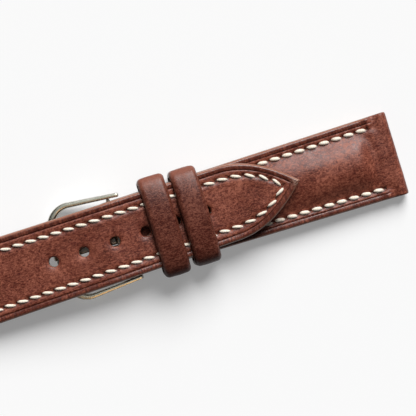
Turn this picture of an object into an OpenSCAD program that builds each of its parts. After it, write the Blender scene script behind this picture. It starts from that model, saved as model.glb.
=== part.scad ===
// Padded leather watch strap with a pin buckle, laid out as a closed pair: the
// long strap passes over the buckle and through both keepers of the short strap.
// X runs along the short strap towards its lug end, Z is up, and the table is Z = 0.
// Strap coordinates below start at the buckle's bar, at mid thickness of the short strap.

/* [Fit to the watch] */
// Strap width at the watch's lugs
lug_w = 20; // [18:0.5:22]
// Width of the short strap at the buckle's bar
buckle_w = 18; // [16:0.5:18.5]
// Radius of the passage for the watch's spring bar
lug_bore_r = 0.95; // [0.8:0.05:1.1]

/* [Leather] */
// Thickness of the upper leather
upper_t = 1.1; // [0.8:0.05:1.4]
// Thickness of the lining leather
lining_t = 1.0; // [0.7:0.05:1.2]
// Thickness of the stiffener in the short strap
short_core_t = 0.9; // [0.7:0.05:1.2]
// Thickness of the stiffener in the long strap
long_core_t = 0.5; // [0.3:0.05:0.8]
// Thickness of the leather turned round the lug passage
lug_wall = 0.6; // [0.45:0.05:0.9]
// Thickness of the reinforcing strip inside the lug passage
lug_strip_t = 0.25; // [0.15:0.05:0.4]
// How far the upper's turned ends run back under the strap
turn_back = 6; // [4:0.5:9]

/* [Padding] */
// Height of the padded crown above the stitched border
crown = 2.0; // [1:0.1:2.6]
// Width of the border beside the padding
pad_border = 3.4; // [3:0.1:4.5]
// Length of the padded part on the long strap
long_pad_len = 38; // [28:1:44]
// Slope of the padding, and of the strap tip that lies on it, in degrees
pad_slope = 5; // [3:0.5:6]

/* [Short strap] */
// From the buckle's bar to the lug end
short_len = 68.3; // [62:0.5:80]
// From the bar to the end of the fold round it
fold_reach = 2.3; // [2:0.1:2.8]

/* [Long strap] */
// Length along the strap, from the point to the lug end
long_len = 120; // [112:1:130]
// Width where the point begins
tip_w = 17.7; // [16:0.1:18]
// Length of the pointed end
tip_len = 17.5; // [14:0.5:22]
// From the bar to the point, as the strap is tucked in
tuck = 43.7; // [40:0.5:47]
// Angle between the two straps, in degrees
yaw = 1.3; // [0:0.1:1.4]
// Slope of the long strap where it comes down to the table, in degrees
fall = 7; // [6.5:0.25:9]

/* [Holes] */
// Number of adjustment holes
hole_n = 6; // [4:1:8]
// Spacing of the holes
hole_pitch = 7.36; // [6:0.1:8]
// Diameter of a hole
hole_d = 2.35; // [2:0.05:2.6]
// From the point to the first hole
hole_first = 23; // [21:0.5:26]

/* [Stitching] */
// Length of one stitch with its gap
stitch_pitch = 3.05; // [2.6:0.05:3.6]
// Diameter of the thread
thread_d = 0.7; // [0.5:0.05:0.8]
// From the edge to the seam on the long strap
long_inset = 3.1; // [2.6:0.1:3.6]
// From the edge to the seam on the short strap
short_inset = 2.6; // [2.2:0.1:3]

/* [Keepers] */
// Length of each keeper along the strap
keeper_len = 6.3; // [5:0.1:7]
// Thickness of the keepers' leather
keeper_t = 1.4; // [1:0.1:1.8]
// Centre of the fixed keeper, from the bar
fixed_keeper_x = 10.5; // [9.5:0.1:11]
// Gap between the two keepers
keeper_gap = 1.25; // [1.2:0.05:2.5]
// Inner width of the fixed keeper
fixed_keeper_w = 21; // [20:0.1:22]
// Inner width of the free keeper
free_keeper_w = 20.2; // [19.8:0.1:21]
// Free height above the long strap inside the keepers
keeper_slack = 0.95; // [0.6:0.05:1]

/* [Buckle] */
// From the bar's centre to the outside of the bow
bow_reach = 15.7; // [14:0.1:18]
// From the bar's centre to the end of the arms
arm_reach = 2.7; // [2:0.1:2.9]
// Widest outer width of the frame
bow_w = 23.4; // [22.8:0.1:25]
// Thickness of the frame
frame_t = 1.8; // [1.6:0.1:2]
// Width of the bow's bar, seen from above
bow_bar = 2.1; // [1.8:0.1:2.6]
// Width of an arm at the hinge
arm_w = 1.0; // [0.9:0.05:1.2]
// Gap between the fold and each arm
arm_gap = 0.45; // [0.4:0.05:0.6]
// Width of the tongue
tongue_w = 2.0; // [1.6:0.1:2.2]
// Thickness of the tongue
tongue_t = 1.0; // [0.8:0.05:1.1]
// Radius of the bar's tube
bar_r = 0.75; // [0.7:0.01:0.8]
// Radius of the plungers' tips
pin_r = 0.4; // [0.3:0.05:0.45]
// How far a plunger can be pushed in
pin_travel = 0.9; // [0.8:0.05:1.1]

/* [Hidden] */

$fn = 32;
run = 0.05;            // running clearance on a radius or a side
rest_gap = 0.3;        // between soft pieces that lie on each other
past = 1;              // how far a cut runs past what it cuts
deg = 180 / PI;

leather = "#73463a";
leather_dark = "#5a332a";
lining_tan = "#8a5f45";
felt = "#b59a78";
thread_cream = "#eadfc8";
steel = "#c9c9c6";

// Sizes that follow from the ones above
short_t = upper_t + short_core_t + lining_t;
long_t = upper_t + long_core_t + lining_t;
half_t = short_t / 2;
lug_r = lug_bore_r + lug_strip_t + lug_wall;
lug_x = short_len - lug_r;
lug_z = lug_r - half_t;
lug_flat = 1.2 * lug_r; // level stretch before the lug end's roll
lug_ramp = 3;           // length of the rise up to that stretch
seam_stop = 2.5;        // from the level stretch back to the end of the seams
strip_start = lug_flat + seam_stop - thread_d / 2 - rest_gap / 2; // the seams stop short of the strip
free_keeper_x = fixed_keeper_x + keeper_len + keeper_gap;
keeper_end = free_keeper_x + keeper_len / 2;
long_z = half_t + rest_gap;
keeper_top = long_z + long_t + keeper_slack;
keeper_drop = run + keeper_t;

// The short strap leans from the free keeper's underside down to its lug end
lean_run = lug_x - keeper_end;
lean = atan2(keeper_drop + lug_r, lean_run) - asin(lug_r / norm([lean_run, keeper_drop + lug_r]));
bar_z = lug_x * sin(lean) - lug_z * cos(lean) + lug_r;

// The long strap's underside, from the point to the lug end: up the padding,
// level through the keepers, down past the buckle, and flat on the table
bend_r = 60;
ramp_gap = 1.2;         // from the free keeper to where the strap starts to rise
ramp_x = keeper_end + ramp_gap;
bend_x = 0.5;           // where the strap starts to fall, from the bar
tip_run = (tuck - ramp_x - bend_r * sin(pad_slope)) / cos(pad_slope);
s_ramp = tip_run;
s_level = s_ramp + bend_r * pad_slope / deg;
s_bend = s_level + ramp_x - bend_x;
s_fall = s_bend + bend_r * fall / deg;
fall_run = (long_z - bend_r * (1 + cos(lean) - 2 * cos(fall)) + bar_z / cos(lean)
    - (bend_x - bend_r * (2 * sin(fall) - sin(lean))) * tan(lean))
    / (sin(fall) - cos(fall) * tan(lean));
s_flat = s_fall + fall_run;
s_table = s_flat + bend_r * (fall - lean) / deg;
s_lug = long_len - lug_r;
fall_x = bend_x - bend_r * sin(fall);
fall_z = -bend_r * (1 - cos(fall));
flat_x = fall_x - fall_run * cos(fall);
flat_z = fall_z - fall_run * sin(fall);
table_x = flat_x - bend_r * (sin(fall) - sin(lean));
table_z = flat_z - bend_r * (cos(lean) - cos(fall));

// Where the long strap's underside is, and its slope, at a distance from the point
function walk(s) =
    s < s_ramp ? [ramp_x + bend_r * sin(pad_slope) + (s_ramp - s) * cos(pad_slope),
        bend_r * (1 - cos(pad_slope)) + (s_ramp - s) * sin(pad_slope), pad_slope]
    : s < s_level ? let (a = (s_level - s) / bend_r * deg)
        [ramp_x + bend_r * sin(a), bend_r * (1 - cos(a)), a]
    : s < s_bend ? [ramp_x - (s - s_level), 0, 0]
    : s < s_fall ? let (a = (s - s_bend) / bend_r * deg)
        [bend_x - bend_r * sin(a), -bend_r * (1 - cos(a)), a]
    : s < s_flat ? [fall_x - (s - s_fall) * cos(fall), fall_z - (s - s_fall) * sin(fall), fall]
    : s < s_table ? let (a = fall - (s - s_flat) / bend_r * deg)
        [flat_x - bend_r * (sin(fall) - sin(a)), flat_z - bend_r * (cos(a) - cos(fall)), a]
    : [table_x - (s - s_table) * cos(lean), table_z - (s - s_table) * sin(lean), lean];

// A point at height n above the long strap's underside
function spot(s, n) = let (p = walk(s)) [p[0] - n * sin(p[2]), p[1] + n * cos(p[2])];

bend_steps = 4;
station_gap = 0.1;      // least distance between two stations
bend_stations = [
    for (b = [[s_ramp, s_level], [s_bend, s_fall], [s_flat, s_table]], i = [0:bend_steps])
        b[0] + (b[1] - b[0]) * i / bend_steps
];
function stations(a, b) = [a, for (s = bend_stations) if (s > a + station_gap && s < b - station_gap) s, b];
function backwards(list) = [for (i = [len(list) - 1:-1:0]) list[i]];
function mirrored(pts) = [for (p = pts) [p[0], -p[1]]];
function arc(c, r, a0, a1, n) = [for (i = [0:n]) let (a = a0 + (a1 - a0) * i / n)
    [c[0] + r * cos(a), c[1] + r * sin(a)]];
function bezier(p0, p1, p2, n) = [for (i = [0:n]) let (t = i / n)
    (1 - t) * (1 - t) * p0 + 2 * t * (1 - t) * p1 + t * t * p2];

// Half widths of the two straps
function short_half(x) = (buckle_w + (lug_w - buckle_w) * x / short_len) / 2;
function long_half(s) = (tip_w + (lug_w - tip_w) * (s - tip_len) / (long_len - tip_len)) / 2;

// The pointed end, half of it, from the point to where the straight edge begins
tip_steps = 14;
tip_bulge = 0.5;
tip_outline = bezier([0, 0], [tip_len * tip_bulge, long_half(tip_len)],
    [tip_len, long_half(tip_len)], tip_steps);

// Half of the long strap's seam: round the point, then along the edge
seam_apex = 1.32 * long_inset;
seam_bulge = 0.4;       // how much further back the seam's curve turns than the outline's
long_seam_end = s_lug - lug_flat - seam_stop;
long_seam = concat(
    bezier([seam_apex, 0], [tip_len * tip_bulge + seam_bulge, long_half(tip_len) - long_inset],
        [tip_len, long_half(tip_len) - long_inset], tip_steps),
    [for (s = stations(tip_len + 2, long_seam_end)) [s, long_half(s) - long_inset]]
);
seam_start_gap = 1.2;   // from the fold to the first stitch
short_seam_start = fold_reach + seam_start_gap;
short_seam_end = lug_x - lug_flat - seam_stop;

// Distances along a line of points, and the point and direction at one of them
function step_at(pts, i) = i + 1 < len(pts) ? norm(pts[i + 1] - pts[i]) : 0;
function lengths(pts) = [for (i = 0, d = 0; i < len(pts); d = d + step_at(pts, i), i = i + 1) d];
function along(pts, run_to, d) = let (
    i = max([for (k = [0:len(pts) - 2]) if (run_to[k] <= d) k]),
    way = (pts[i + 1] - pts[i]) / norm(pts[i + 1] - pts[i])
) [pts[i] + (d - run_to[i]) * way, way];
// A line of points moved sideways
function beside(pts, d) = [
    for (i = [0:len(pts) - 1]) let (
        a = pts[max(i - 1, 0)],
        b = pts[min(i + 1, len(pts) - 1)],
        way = (b - a) / norm(b - a)
    ) pts[i] + d * [-way[1], way[0]]
];

channel_side = 0.2;     // room beside a stitch in its channel
channel_w = thread_d + 2 * channel_side;
channel_d = 0.2;
thread_r = thread_d / 2;
leg_r = 0.6 * thread_r; // where the thread goes through the strap
thread_sink = 0.15;     // from the leather's surface down to a stitch's axis
stitch_gap = 0.45;      // between the ends of two stitches
slant = -8;             // how far a stitch turns from its seam, in degrees

// Places a piece of either strap in the part's frame
bar_x = (long_len - tuck - short_len) / 2;
yaw_x = 8;
module on_table() {
    translate([bar_x, 0, bar_z]) rotate([0, lean, 0]) children();
}
module as_long_strap() {
    on_table() translate([yaw_x, 0, long_z]) rotate([0, 0, yaw]) translate([-yaw_x, 0, 0]) children();
}
module across(w) {
    rotate([90, 0, 0]) linear_extrude(w, center = true) children();
}
wide = 2 * lug_w;

// A solid between two grids of points with the same rows
module between(top, bottom) {
    m = len(top) - 1;
    k = len(top[0]) - 1;
    n = (m + 1) * (k + 1);
    function t(i, j) = i * (k + 1) + j;
    function b(i, j) = n + t(i, j);
    polyhedron(
        points = concat([for (r = top) each r], [for (r = bottom) each r]),
        faces = concat(
            [for (i = [0:m - 1], j = [0:k - 1]) [t(i, j), t(i, j + 1), t(i + 1, j + 1)]],
            [for (i = [0:m - 1], j = [0:k - 1]) [t(i, j), t(i + 1, j + 1), t(i + 1, j)]],
            [for (i = [0:m - 1], j = [0:k - 1]) [b(i, j), b(i + 1, j + 1), b(i, j + 1)]],
            [for (i = [0:m - 1], j = [0:k - 1]) [b(i, j), b(i + 1, j), b(i + 1, j + 1)]],
            [for (j = [0:k - 1]) [t(0, j), b(0, j), b(0, j + 1)]],
            [for (j = [0:k - 1]) [t(0, j), b(0, j + 1), t(0, j + 1)]],
            [for (j = [0:k - 1]) [t(m, j), b(m, j + 1), b(m, j)]],
            [for (j = [0:k - 1]) [t(m, j), t(m, j + 1), b(m, j + 1)]],
            [for (i = [0:m - 1]) [t(i, 0), t(i + 1, 0), b(i + 1, 0)]],
            [for (i = [0:m - 1]) [t(i, 0), b(i + 1, 0), b(i, 0)]],
            [for (i = [0:m - 1]) [t(i, k), b(i + 1, k), t(i + 1, k)]],
            [for (i = [0:m - 1]) [t(i, k), b(i, k), b(i + 1, k)]]
        )
    );
}
// A solid through a row of rings that have as many points each
module through(rings) {
    q = len(rings[0]);
    m = len(rings) - 1;
    function at(i, j) = i * q + j % q;
    polyhedron(
        points = [for (r = rings) each r],
        faces = concat(
            [for (i = [0:m - 1], j = [0:q - 1]) [at(i, j), at(i + 1, j + 1), at(i, j + 1)]],
            [for (i = [0:m - 1], j = [0:q - 1]) [at(i, j), at(i + 1, j), at(i + 1, j + 1)]],
            [for (j = [1:q - 2]) [at(0, 0), at(0, j), at(0, j + 1)]],
            [for (j = [1:q - 2]) [at(m, 0), at(m, j + 1), at(m, j)]]
        )
    );
}

// The padded crown. Height along the strap, from where the slope begins to the lug end
pad_dip = 0.15;         // how far the crown's rim starts below the leather's surface
pad_step = 2.4;         // length of the rounded step at the lug end
pad_skin = 0.6;         // how much narrower the padding's pocket is than the crown, all round
pad_gap = 0.03;         // between the padding and its pocket
pad_rim = 0.15;         // least height of the padding's rim
function pad_height(d, length) = let (
    up = d * tan(pad_slope) - pad_dip,
    down = (crown + pad_dip) * sqrt(max(0, 1 - pow(max(0, 1 - (length - d) / pad_step), 2))) - pad_dip
) min(up, crown, down);
pad_rows = 18;
pad_columns = 12;
function pad_at(i, length) = let (t = i / pad_rows)
    t < 0.66 ? length * t * 1.36 : length - (length - length * 0.66 * 1.36) * pow((1 - t) / 0.34, 1.7);
function pad_across(j) = let (v = 2 * j / pad_columns - 1) sign(v) * (1 - pow(1 - abs(v), 1.25));
function pad_form(v) = 1 - pow(abs(v), 2.6);

// Height of the crown above the leather's flat surface, at a distance and a share of its width
function crown_at(d, length, v) = (pad_height(d, length) + pad_dip) * pad_form(v) - pad_dip;

short_pad_start = ramp_x + bend_r * sin(pad_slope) / 2 + 0.2 - pad_dip / tan(pad_slope);
short_pad_len = lug_x - lug_flat - short_pad_start;
// The crown, or the crown lowered by drop and drawn in by shrink, down to a foot
module short_crown(drop, shrink, foot, rim) {
    length = short_pad_len - 2 * shrink;
    function grid(flat) = [for (i = [0:pad_rows]) [for (j = [0:pad_columns]) let (
        d = pad_at(i, length),
        x = short_pad_start + shrink + d,
        v = pad_across(j),
        h = max(half_t - drop + crown_at(d, length, v), rim)
    ) [x, v * (short_half(x) - pad_border - shrink), flat ? foot : h]]];
    between(grid(false), grid(true));
}
module long_crown(drop, shrink, foot, rim) {
    length = long_pad_len - 2 * shrink;
    function grid(flat) = [for (i = [0:pad_rows]) [for (j = [0:pad_columns]) let (
        d = pad_at(i, length),
        s = s_lug - lug_flat - long_pad_len + shrink + d,
        v = pad_across(j),
        p = spot(s, flat ? foot : max(long_t - drop + crown_at(d, length, v), rim))
    ) [p[0], v * (long_half(s) - pad_border - shrink), p[1]]]];
    between(backwards(grid(false)), backwards(grid(true)));
}

// Short strap
bar_web = 1.1;          // leather between the bar and the stiffener
core_start = bar_r + run + bar_web;
core_end = lug_x - strip_start;
slot_w = tongue_w + 0.5;
slot_end = half_t + 0.9;
core_low = lining_t - half_t;
core_high = half_t - upper_t;
short_turn_x = turn_back;
short_turn_lug = lug_x - turn_back;
module short_section() {
    polygon(concat(
        arc([half_t - fold_reach, 0], half_t, 90, 270, 16),
        arc([lug_x, lug_z], lug_r, -90, 90, 16),
        [[lug_x - lug_flat, lug_z + lug_r], [lug_x - lug_flat - lug_ramp, half_t]]
    ));
}
module short_plan() {
    a = -fold_reach - past;
    b = short_len + past;
    polygon([[a, -short_half(a)], [b, -short_half(b)], [b, short_half(b)], [a, short_half(a)]]);
}
module short_slab() {
    intersection() {
        across(wide) children();
        linear_extrude(6 * short_t, center = true) short_plan();
    }
}
// A flat piece of the short strap, between two lengths and two heights
module short_layer(x0, x1, z0, z1) {
    short_slab() translate([x0, z0]) square([x1 - x0, z1 - z0]);
}
// The same space with its sides open, as a cut
module short_space(x0, x1, z0, z1) {
    translate([x0, -wide / 2, z0]) cube([x1 - x0, wide, z1 - z0]);
}
module short_channel(z0) {
    ends = [[short_seam_start, -1], [short_seam_end, -1], [short_seam_end, 1], [short_seam_start, 1]];
    for (side = [-1, 1])
        translate([0, 0, z0]) linear_extrude(channel_d + past) polygon([
            for (e = ends) [e[0], side * (short_half(e[0]) - short_inset) + e[1] * channel_w / 2]
        ]);
}
module lug_strip_shape(w, grow) {
    tail = strip_start + grow;
    rotate([90, 0, 0]) cylinder(r = lug_bore_r + lug_strip_t + grow, h = w, center = true);
    translate([-tail, -w / 2, -lug_strip_t - grow]) cube([tail - lug_bore_r, w, 2 * (lug_strip_t + grow)]);
}
module short_upper() {
    color(leather) on_table() difference() {
        union() {
            short_slab() short_section();
            short_crown(0, 0, half_t - upper_t / 2, -half_t);
        }
        short_crown(upper_t, pad_skin, core_high - past / 4, core_high + pad_gap + pad_rim);
        short_space(core_start, core_end, core_low, core_high);
        short_space(short_turn_x, short_turn_lug, -half_t - past, core_low);
        rotate([90, 0, 0]) cylinder(r = bar_r + run, h = wide, center = true);
        translate([lug_x, 0, lug_z]) lug_strip_shape(wide, 0);
        translate([-fold_reach - past, -slot_w / 2, -half_t - past])
            cube([fold_reach + past + slot_end, slot_w, short_t + 2 * past]);
        short_channel(half_t - channel_d);
    }
}
module short_core() {
    color(felt) on_table() {
        short_layer(core_start, fixed_keeper_x - keeper_len / 2, core_low, core_high);
        short_layer(fixed_keeper_x + keeper_len / 2, core_end, core_low, core_high);
    }
}
module short_padding() {
    color(felt) on_table() difference() {
        short_crown(upper_t + pad_gap, pad_skin + pad_gap, core_high + pad_gap, core_high + pad_rim);
        translate([lug_x, 0, lug_z]) lug_strip_shape(wide, run);
    }
}
module short_lining() {
    color(lining_tan) on_table() difference() {
        short_layer(short_turn_x, short_turn_lug, -half_t, core_low);
        short_channel(-half_t - past);
    }
}
module short_lug_strip() {
    color(lining_tan) on_table() translate([lug_x, 0, lug_z]) intersection() {
        difference() {
            lug_strip_shape(wide, 0);
            rotate([90, 0, 0]) cylinder(r = lug_bore_r, h = 2 * wide, center = true);
        }
        translate([-lug_x, 0, 0]) linear_extrude(4 * lug_r, center = true) short_plan();
    }
}

// One stitch along X, and the leg that takes the thread through the strap
module stitch() {
    half = (stitch_pitch - stitch_gap) / 2;
    point = 0.45 * thread_r;
    taper = 0.5;
    rotate([90, 0, 90]) rotate_extrude($fn = 16) polygon([
        [0, -half], [point, -half], [thread_r, taper - half],
        [thread_r, half - taper], [point, half], [0, half]
    ]);
}

// Keepers: a loop of leather in the strap's cross-section
module rounded(w, z0, z1, r) {
    polygon(concat(
        arc([w / 2 - r, z1 - r], r, 0, 90, 8), arc([r - w / 2, z1 - r], r, 90, 180, 8),
        arc([r - w / 2, z0 + r], r, 180, 270, 8), arc([w / 2 - r, z0 + r], r, 270, 360, 8)
    ));
}
keeper_round = 2;       // outer radius of a keeper's corners
keeper_inner_round = 1;
keeper_seam = 3;        // from the middle to each row of stitches under the free keeper
keeper_foot = -half_t - keeper_drop;
module keeper_loop(x, w, z0, bottom_t) {
    translate([x - keeper_len / 2, 0, 0]) rotate([90, 0, 90]) linear_extrude(keeper_len) difference() {
        rounded(w + 2 * keeper_t, z0, keeper_top + keeper_t, keeper_round);
        rounded(w, z0 + bottom_t, keeper_top, keeper_inner_round);
    }
}
module fixed_keeper() {
    color(leather_dark) on_table() keeper_loop(fixed_keeper_x, fixed_keeper_w, core_low, short_core_t);
}
module free_keeper() {
    channel_x = free_keeper_x - keeper_len / 2 - past;
    color(leather_dark) on_table() difference() {
        keeper_loop(free_keeper_x, free_keeper_w, keeper_foot, keeper_t);
        for (side = [-1, 1])
            translate([channel_x, side * keeper_seam - channel_w / 2, keeper_foot - past])
                cube([keeper_len + 2 * past, channel_w, past + thread_d]);
    }
}
module free_keeper_thread() {
    stitch_z = keeper_foot + thread_r + run;
    color(thread_cream) on_table() for (side = [-1, 1], e = [-1, 1])
        translate([free_keeper_x + e * stitch_pitch / 2, side * keeper_seam, stitch_z]) stitch();
}

module seam_stitch(depth) {
    translate([0, 0, depth]) rotate([0, 0, slant]) stitch();
}
short_stitches = floor((short_seam_end - short_seam_start) / stitch_pitch);
module short_row(side) {
    taper = atan2(short_half(short_len) - short_half(0), short_len);
    for (i = [0:short_stitches - 1]) let (x = short_seam_end - (i + 0.5) * stitch_pitch)
        translate([x, side * (short_half(x) - short_inset), 0]) rotate([0, 0, side * taper]) {
            seam_stitch(half_t - thread_sink);
            seam_stitch(thread_r + run - half_t);
        }
    for (i = [0:short_stitches]) let (x = short_seam_end - i * stitch_pitch)
        translate([x, side * (short_half(x) - short_inset), 0])
            cylinder(r = leg_r, h = short_t - 2 * thread_d, center = true);
}
module short_thread_left() {
    color(thread_cream) on_table() short_row(1);
}
module short_thread_right() {
    color(thread_cream) on_table() short_row(-1);
}

// Long strap
module ribbon(a, b, n0, n1) {
    st = stations(a, b);
    polygon(concat([for (s = st) spot(s, n0)], [for (s = backwards(st)) spot(s, n1)]));
}
long_turn = s_lug - turn_back;
long_core_end = s_lug - strip_start;
long_core_high = long_t - upper_t;
long_tall = long_len / 2;   // taller than the long strap's route
module long_section() {
    st = stations(0, s_lug);
    top = stations(0, s_lug - lug_flat - lug_ramp);
    polygon(concat(
        [for (s = st) spot(s, 0)],
        [for (a = [-90:12:90]) spot(s_lug + lug_r * cos(a), lug_r + lug_r * sin(a))],
        [spot(s_lug - lug_flat, 2 * lug_r)],
        [for (s = backwards(top)) spot(s, long_t)]
    ));
}
module long_plan() {
    edge = concat(tip_outline, [for (s = stations(tip_len + 1, long_len + past)) [s, long_half(s)]]);
    side = [for (e = edge) [walk(e[0])[0], e[1]]];
    polygon(concat(side, backwards(mirrored(side))));
}
module long_slab() {
    intersection() {
        across(wide) children();
        linear_extrude(long_tall, center = true) long_plan();
    }
}
module long_holes() {
    for (i = [0:hole_n - 1]) let (p = walk(hole_first + i * hole_pitch))
        translate([p[0], 0, p[1]]) rotate([0, -p[2], 0])
            translate([0, 0, -past]) cylinder(d = hole_d, h = long_t + 2 * past);
}
// The seam's channel, in the upper for n0 above the underside, or in the lining
module long_channel(n0, n1) {
    intersection() {
        across(wide) ribbon(seam_apex / 2, long_seam_end, n0, n1);
        linear_extrude(long_tall, center = true) {
            line = [for (p = long_seam) [walk(p[0])[0], p[1]]];
            inner = beside(line, -channel_w / 2);
            outer = beside(line, channel_w / 2);
            for (flip = [0, 1]) mirror([0, flip]) polygon(concat(
                [[inner[0][0] - channel_w / 2, 0]], inner, backwards(outer), [[outer[0][0] + channel_w / 2, 0]]
            ));
        }
    }
}
module long_upper() {
    color(leather) as_long_strap() difference() {
        union() {
            long_slab() long_section();
            long_crown(0, 0, long_t - upper_t / 2, 0);
        }
        long_crown(upper_t, pad_skin, long_core_high - past / 4, long_core_high + pad_gap + pad_rim);
        across(wide) ribbon(-past, long_core_end, lining_t, long_core_high);
        across(wide) ribbon(-past, long_turn, -past, lining_t);
        in_long_lug() lug_strip_shape(wide, 0);
        long_holes();
        long_channel(long_t - channel_d, long_t + past);
    }
}
module in_long_lug() {
    p = spot(s_lug, lug_r);
    translate([p[0], 0, p[1]]) rotate([0, -lean, 0]) mirror([1, 0, 0]) children();
}
module long_core() {
    color(felt) as_long_strap() difference() {
        long_slab() ribbon(0, long_core_end, lining_t, long_core_high);
        long_holes();
    }
}
module long_padding() {
    color(felt) as_long_strap() difference() {
        long_crown(upper_t + pad_gap, pad_skin + pad_gap, long_core_high + pad_gap, long_core_high + pad_rim);
        in_long_lug() lug_strip_shape(wide, run);
    }
}
module long_lining() {
    color(lining_tan) as_long_strap() difference() {
        long_slab() ribbon(0, long_turn, 0, lining_t);
        long_holes();
        long_channel(-past, channel_d);
    }
}
module long_lug_strip() {
    color(lining_tan) as_long_strap() intersection() {
        in_long_lug() difference() {
            lug_strip_shape(wide, 0);
            rotate([90, 0, 0]) cylinder(r = lug_bore_r, h = 2 * wide, center = true);
        }
        linear_extrude(long_tall, center = true) long_plan();
    }
}
module long_thread() {
    run_to = lengths(long_seam);
    stitches = floor(run_to[len(run_to) - 1] / stitch_pitch);
    color(thread_cream) as_long_strap() for (side = [-1, 1]) {
        for (i = [0:stitches - 1]) let (
            at = along(long_seam, run_to, (i + 0.5) * stitch_pitch),
            p = walk(at[0][0])
        ) translate([p[0], side * at[0][1], p[1]]) rotate([0, -p[2], 0])
            rotate([0, 0, atan2(side * at[1][1], -at[1][0])]) {
                seam_stitch(long_t - thread_sink);
                seam_stitch(thread_r + run);
            }
        for (i = [(side > 0 ? 0 : 1):stitches]) let (
            at = along(long_seam, run_to, i * stitch_pitch),
            p = walk(at[0][0])
        ) translate([p[0], side * at[0][1], p[1]]) rotate([0, -p[2], 0])
            translate([0, 0, thread_d]) cylinder(r = leg_r, h = long_t - 2 * thread_d);
    }
}

// Buckle, in its own frame along -X from the bar, then swung down onto the table
arm_in = buckle_w / 2 + arm_gap;
corner_out = 5.8;       // outer radius of the bow's corners
corner_in = corner_out - bow_bar + 0.3;
corner_w = arm_w + 0.4; // width of the frame beside its corners
end_round = 0.4;        // length of the rounding at the arms' ends
frame_steps = 7;
// One edge of half the frame: from the arm's end, past a corner at c, to the middle of the bow
function edge_line(y0, c, r, reach) = concat(
    [[arm_reach, y0], [arm_reach - end_round, y0]],
    [for (t = [1, 2]) let (k = t / 3) [arm_reach + (c[0] - arm_reach) * k, y0 + (c[1] + r - y0) * k]],
    arc(c, r, 90, 180, frame_steps),
    [[-reach, 0]]
);
inner_reach = bow_reach - bow_bar;
outer_corner = [corner_out - bow_reach, bow_w / 2 - corner_out];
inner_corner = [corner_in - inner_reach, bow_w / 2 - corner_w - corner_in];
outer_edge = edge_line(arm_in + arm_w, outer_corner, corner_out, bow_reach);
inner_edge = edge_line(arm_in, inner_corner, corner_in, inner_reach);
ring_n = 12;
box_form = 0.6;         // 1 is an ellipse, and less is squarer
function soft(c) = sign(c) * pow(abs(c), box_form);
function soft_box(a) = [soft(cos(a)), soft(sin(a))];
function frame_ring(i, side, size) = [
    for (k = [0:ring_n - 1]) let (
        b = soft_box(360 * k / ring_n) * size,
        mid = (outer_edge[i] + inner_edge[i]) / 2,
        half = (outer_edge[i] - inner_edge[i]) / 2
    ) [mid[0] + b[0] * half[0], side * (mid[1] + b[0] * half[1]), b[1] * frame_t / 2]
];
frame_n = len(outer_edge) - 1;
// The frame touches the table at the lower outer edge of its bow
touch = soft_box(240);
touch_x = bow_reach - bow_bar / 2 - touch[0] * bow_bar / 2;
touch_z = -touch[1] * frame_t / 2;
swing = asin(bar_z / norm([touch_x, touch_z])) - atan2(touch_z, touch_x) + lean;
module in_buckle() {
    on_table() rotate([0, -swing, 0]) children();
}
module buckle_frame() {
    function size(i) = i == 0 ? 0.8 : 1;
    color(steel) in_buckle() difference() {
        through(concat(
            [for (i = [0:frame_n]) frame_ring(i, -1, size(i))],
            [for (i = [frame_n - 1:-1:0]) frame_ring(i, 1, size(i))]
        ));
        rotate([90, 0, 0]) cylinder(r = pin_r + run, h = bow_w + 2 * past, center = true);
    }
}
eye_r = half_t - 0.3;
tongue_over = 0.3;      // how far the tongue reaches past the bow, and starts level before it
tongue_root = 0.4;      // where the tongue leaves its eye
module buckle_tongue() {
    low = frame_t / 2 + 0.02;
    high = low + tongue_t;
    tip = -bow_reach - tongue_over;
    rest = tongue_over - inner_reach;
    color(steel) in_buckle() difference() {
        union() {
            across(tongue_w) circle(r = eye_r);
            across(tongue_w) polygon([
                [-tongue_root, -tongue_t / 2], [rest, low], [tip + 0.5, low], [tip, low - 0.25],
                [tip, low + 0.3 * tongue_t], [tip + 1.3, high], [rest, high], [-tongue_root, eye_r - run]
            ]);
        }
        rotate([90, 0, 0]) cylinder(r = bar_r + run, h = 2 * wide, center = true);
    }
}

// Spring bar in the fold: a tube, two plungers that spring outwards, and their spring
tube_half = buckle_w / 2 - 0.2;
tube_wall = 0.22;
shaft_r = bar_r - tube_wall - run;
shaft_len = 3;
shoulder = arm_in - 0.1;    // the plunger's shoulder stops short of the arm
pin_out = arm_in + pin_travel - run;
module bar_tube() {
    color(steel) on_table() rotate([90, 0, 0]) difference() {
        cylinder(r = bar_r, h = 2 * tube_half, center = true);
        cylinder(r = shaft_r + run, h = 2 * tube_half + past, center = true);
    }
}
module plunger(side) {
    shaft_start = tube_half - shaft_len;
    on_table() rotate([-side * 90, 0, 0]) translate([0, 0, shaft_start]) {
        cylinder(r = shaft_r, h = shoulder - shaft_start);
        cylinder(r = pin_r, h = pin_out - shaft_start);
    }
}
module bar_plunger_left() {
    color(steel) plunger(1);
}
module bar_plunger_right() {
    color(steel) plunger(-1);
}
module bar_spring() {
    reach = tube_half - shaft_len - run;
    wire = 0.09;
    coil = shaft_r - wire;
    turns = 16;
    per_turn = 8;
    sides = 5;
    points = turns * per_turn;
    function ring(i) = [for (k = [0:sides - 1]) let (
        a = 360 * i / per_turn,
        b = 360 * k / sides,
        r = coil + wire * cos(b),
        y = (reach - wire) * (2 * i / points - 1)
    ) [r * cos(a), y + wire * sin(b), r * sin(a)]];
    color(steel) on_table() through([for (i = [0:points]) ring(i)]);
}

short_upper();
short_core();
short_padding();
short_lining();
short_lug_strip();
fixed_keeper();
short_thread_left();
short_thread_right();
free_keeper();
free_keeper_thread();
buckle_frame();
buckle_tongue();
bar_tube();
bar_plunger_left();
bar_plunger_right();
bar_spring();
long_upper();
long_core();
long_padding();
long_lining();
long_lug_strip();
long_thread();
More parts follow.
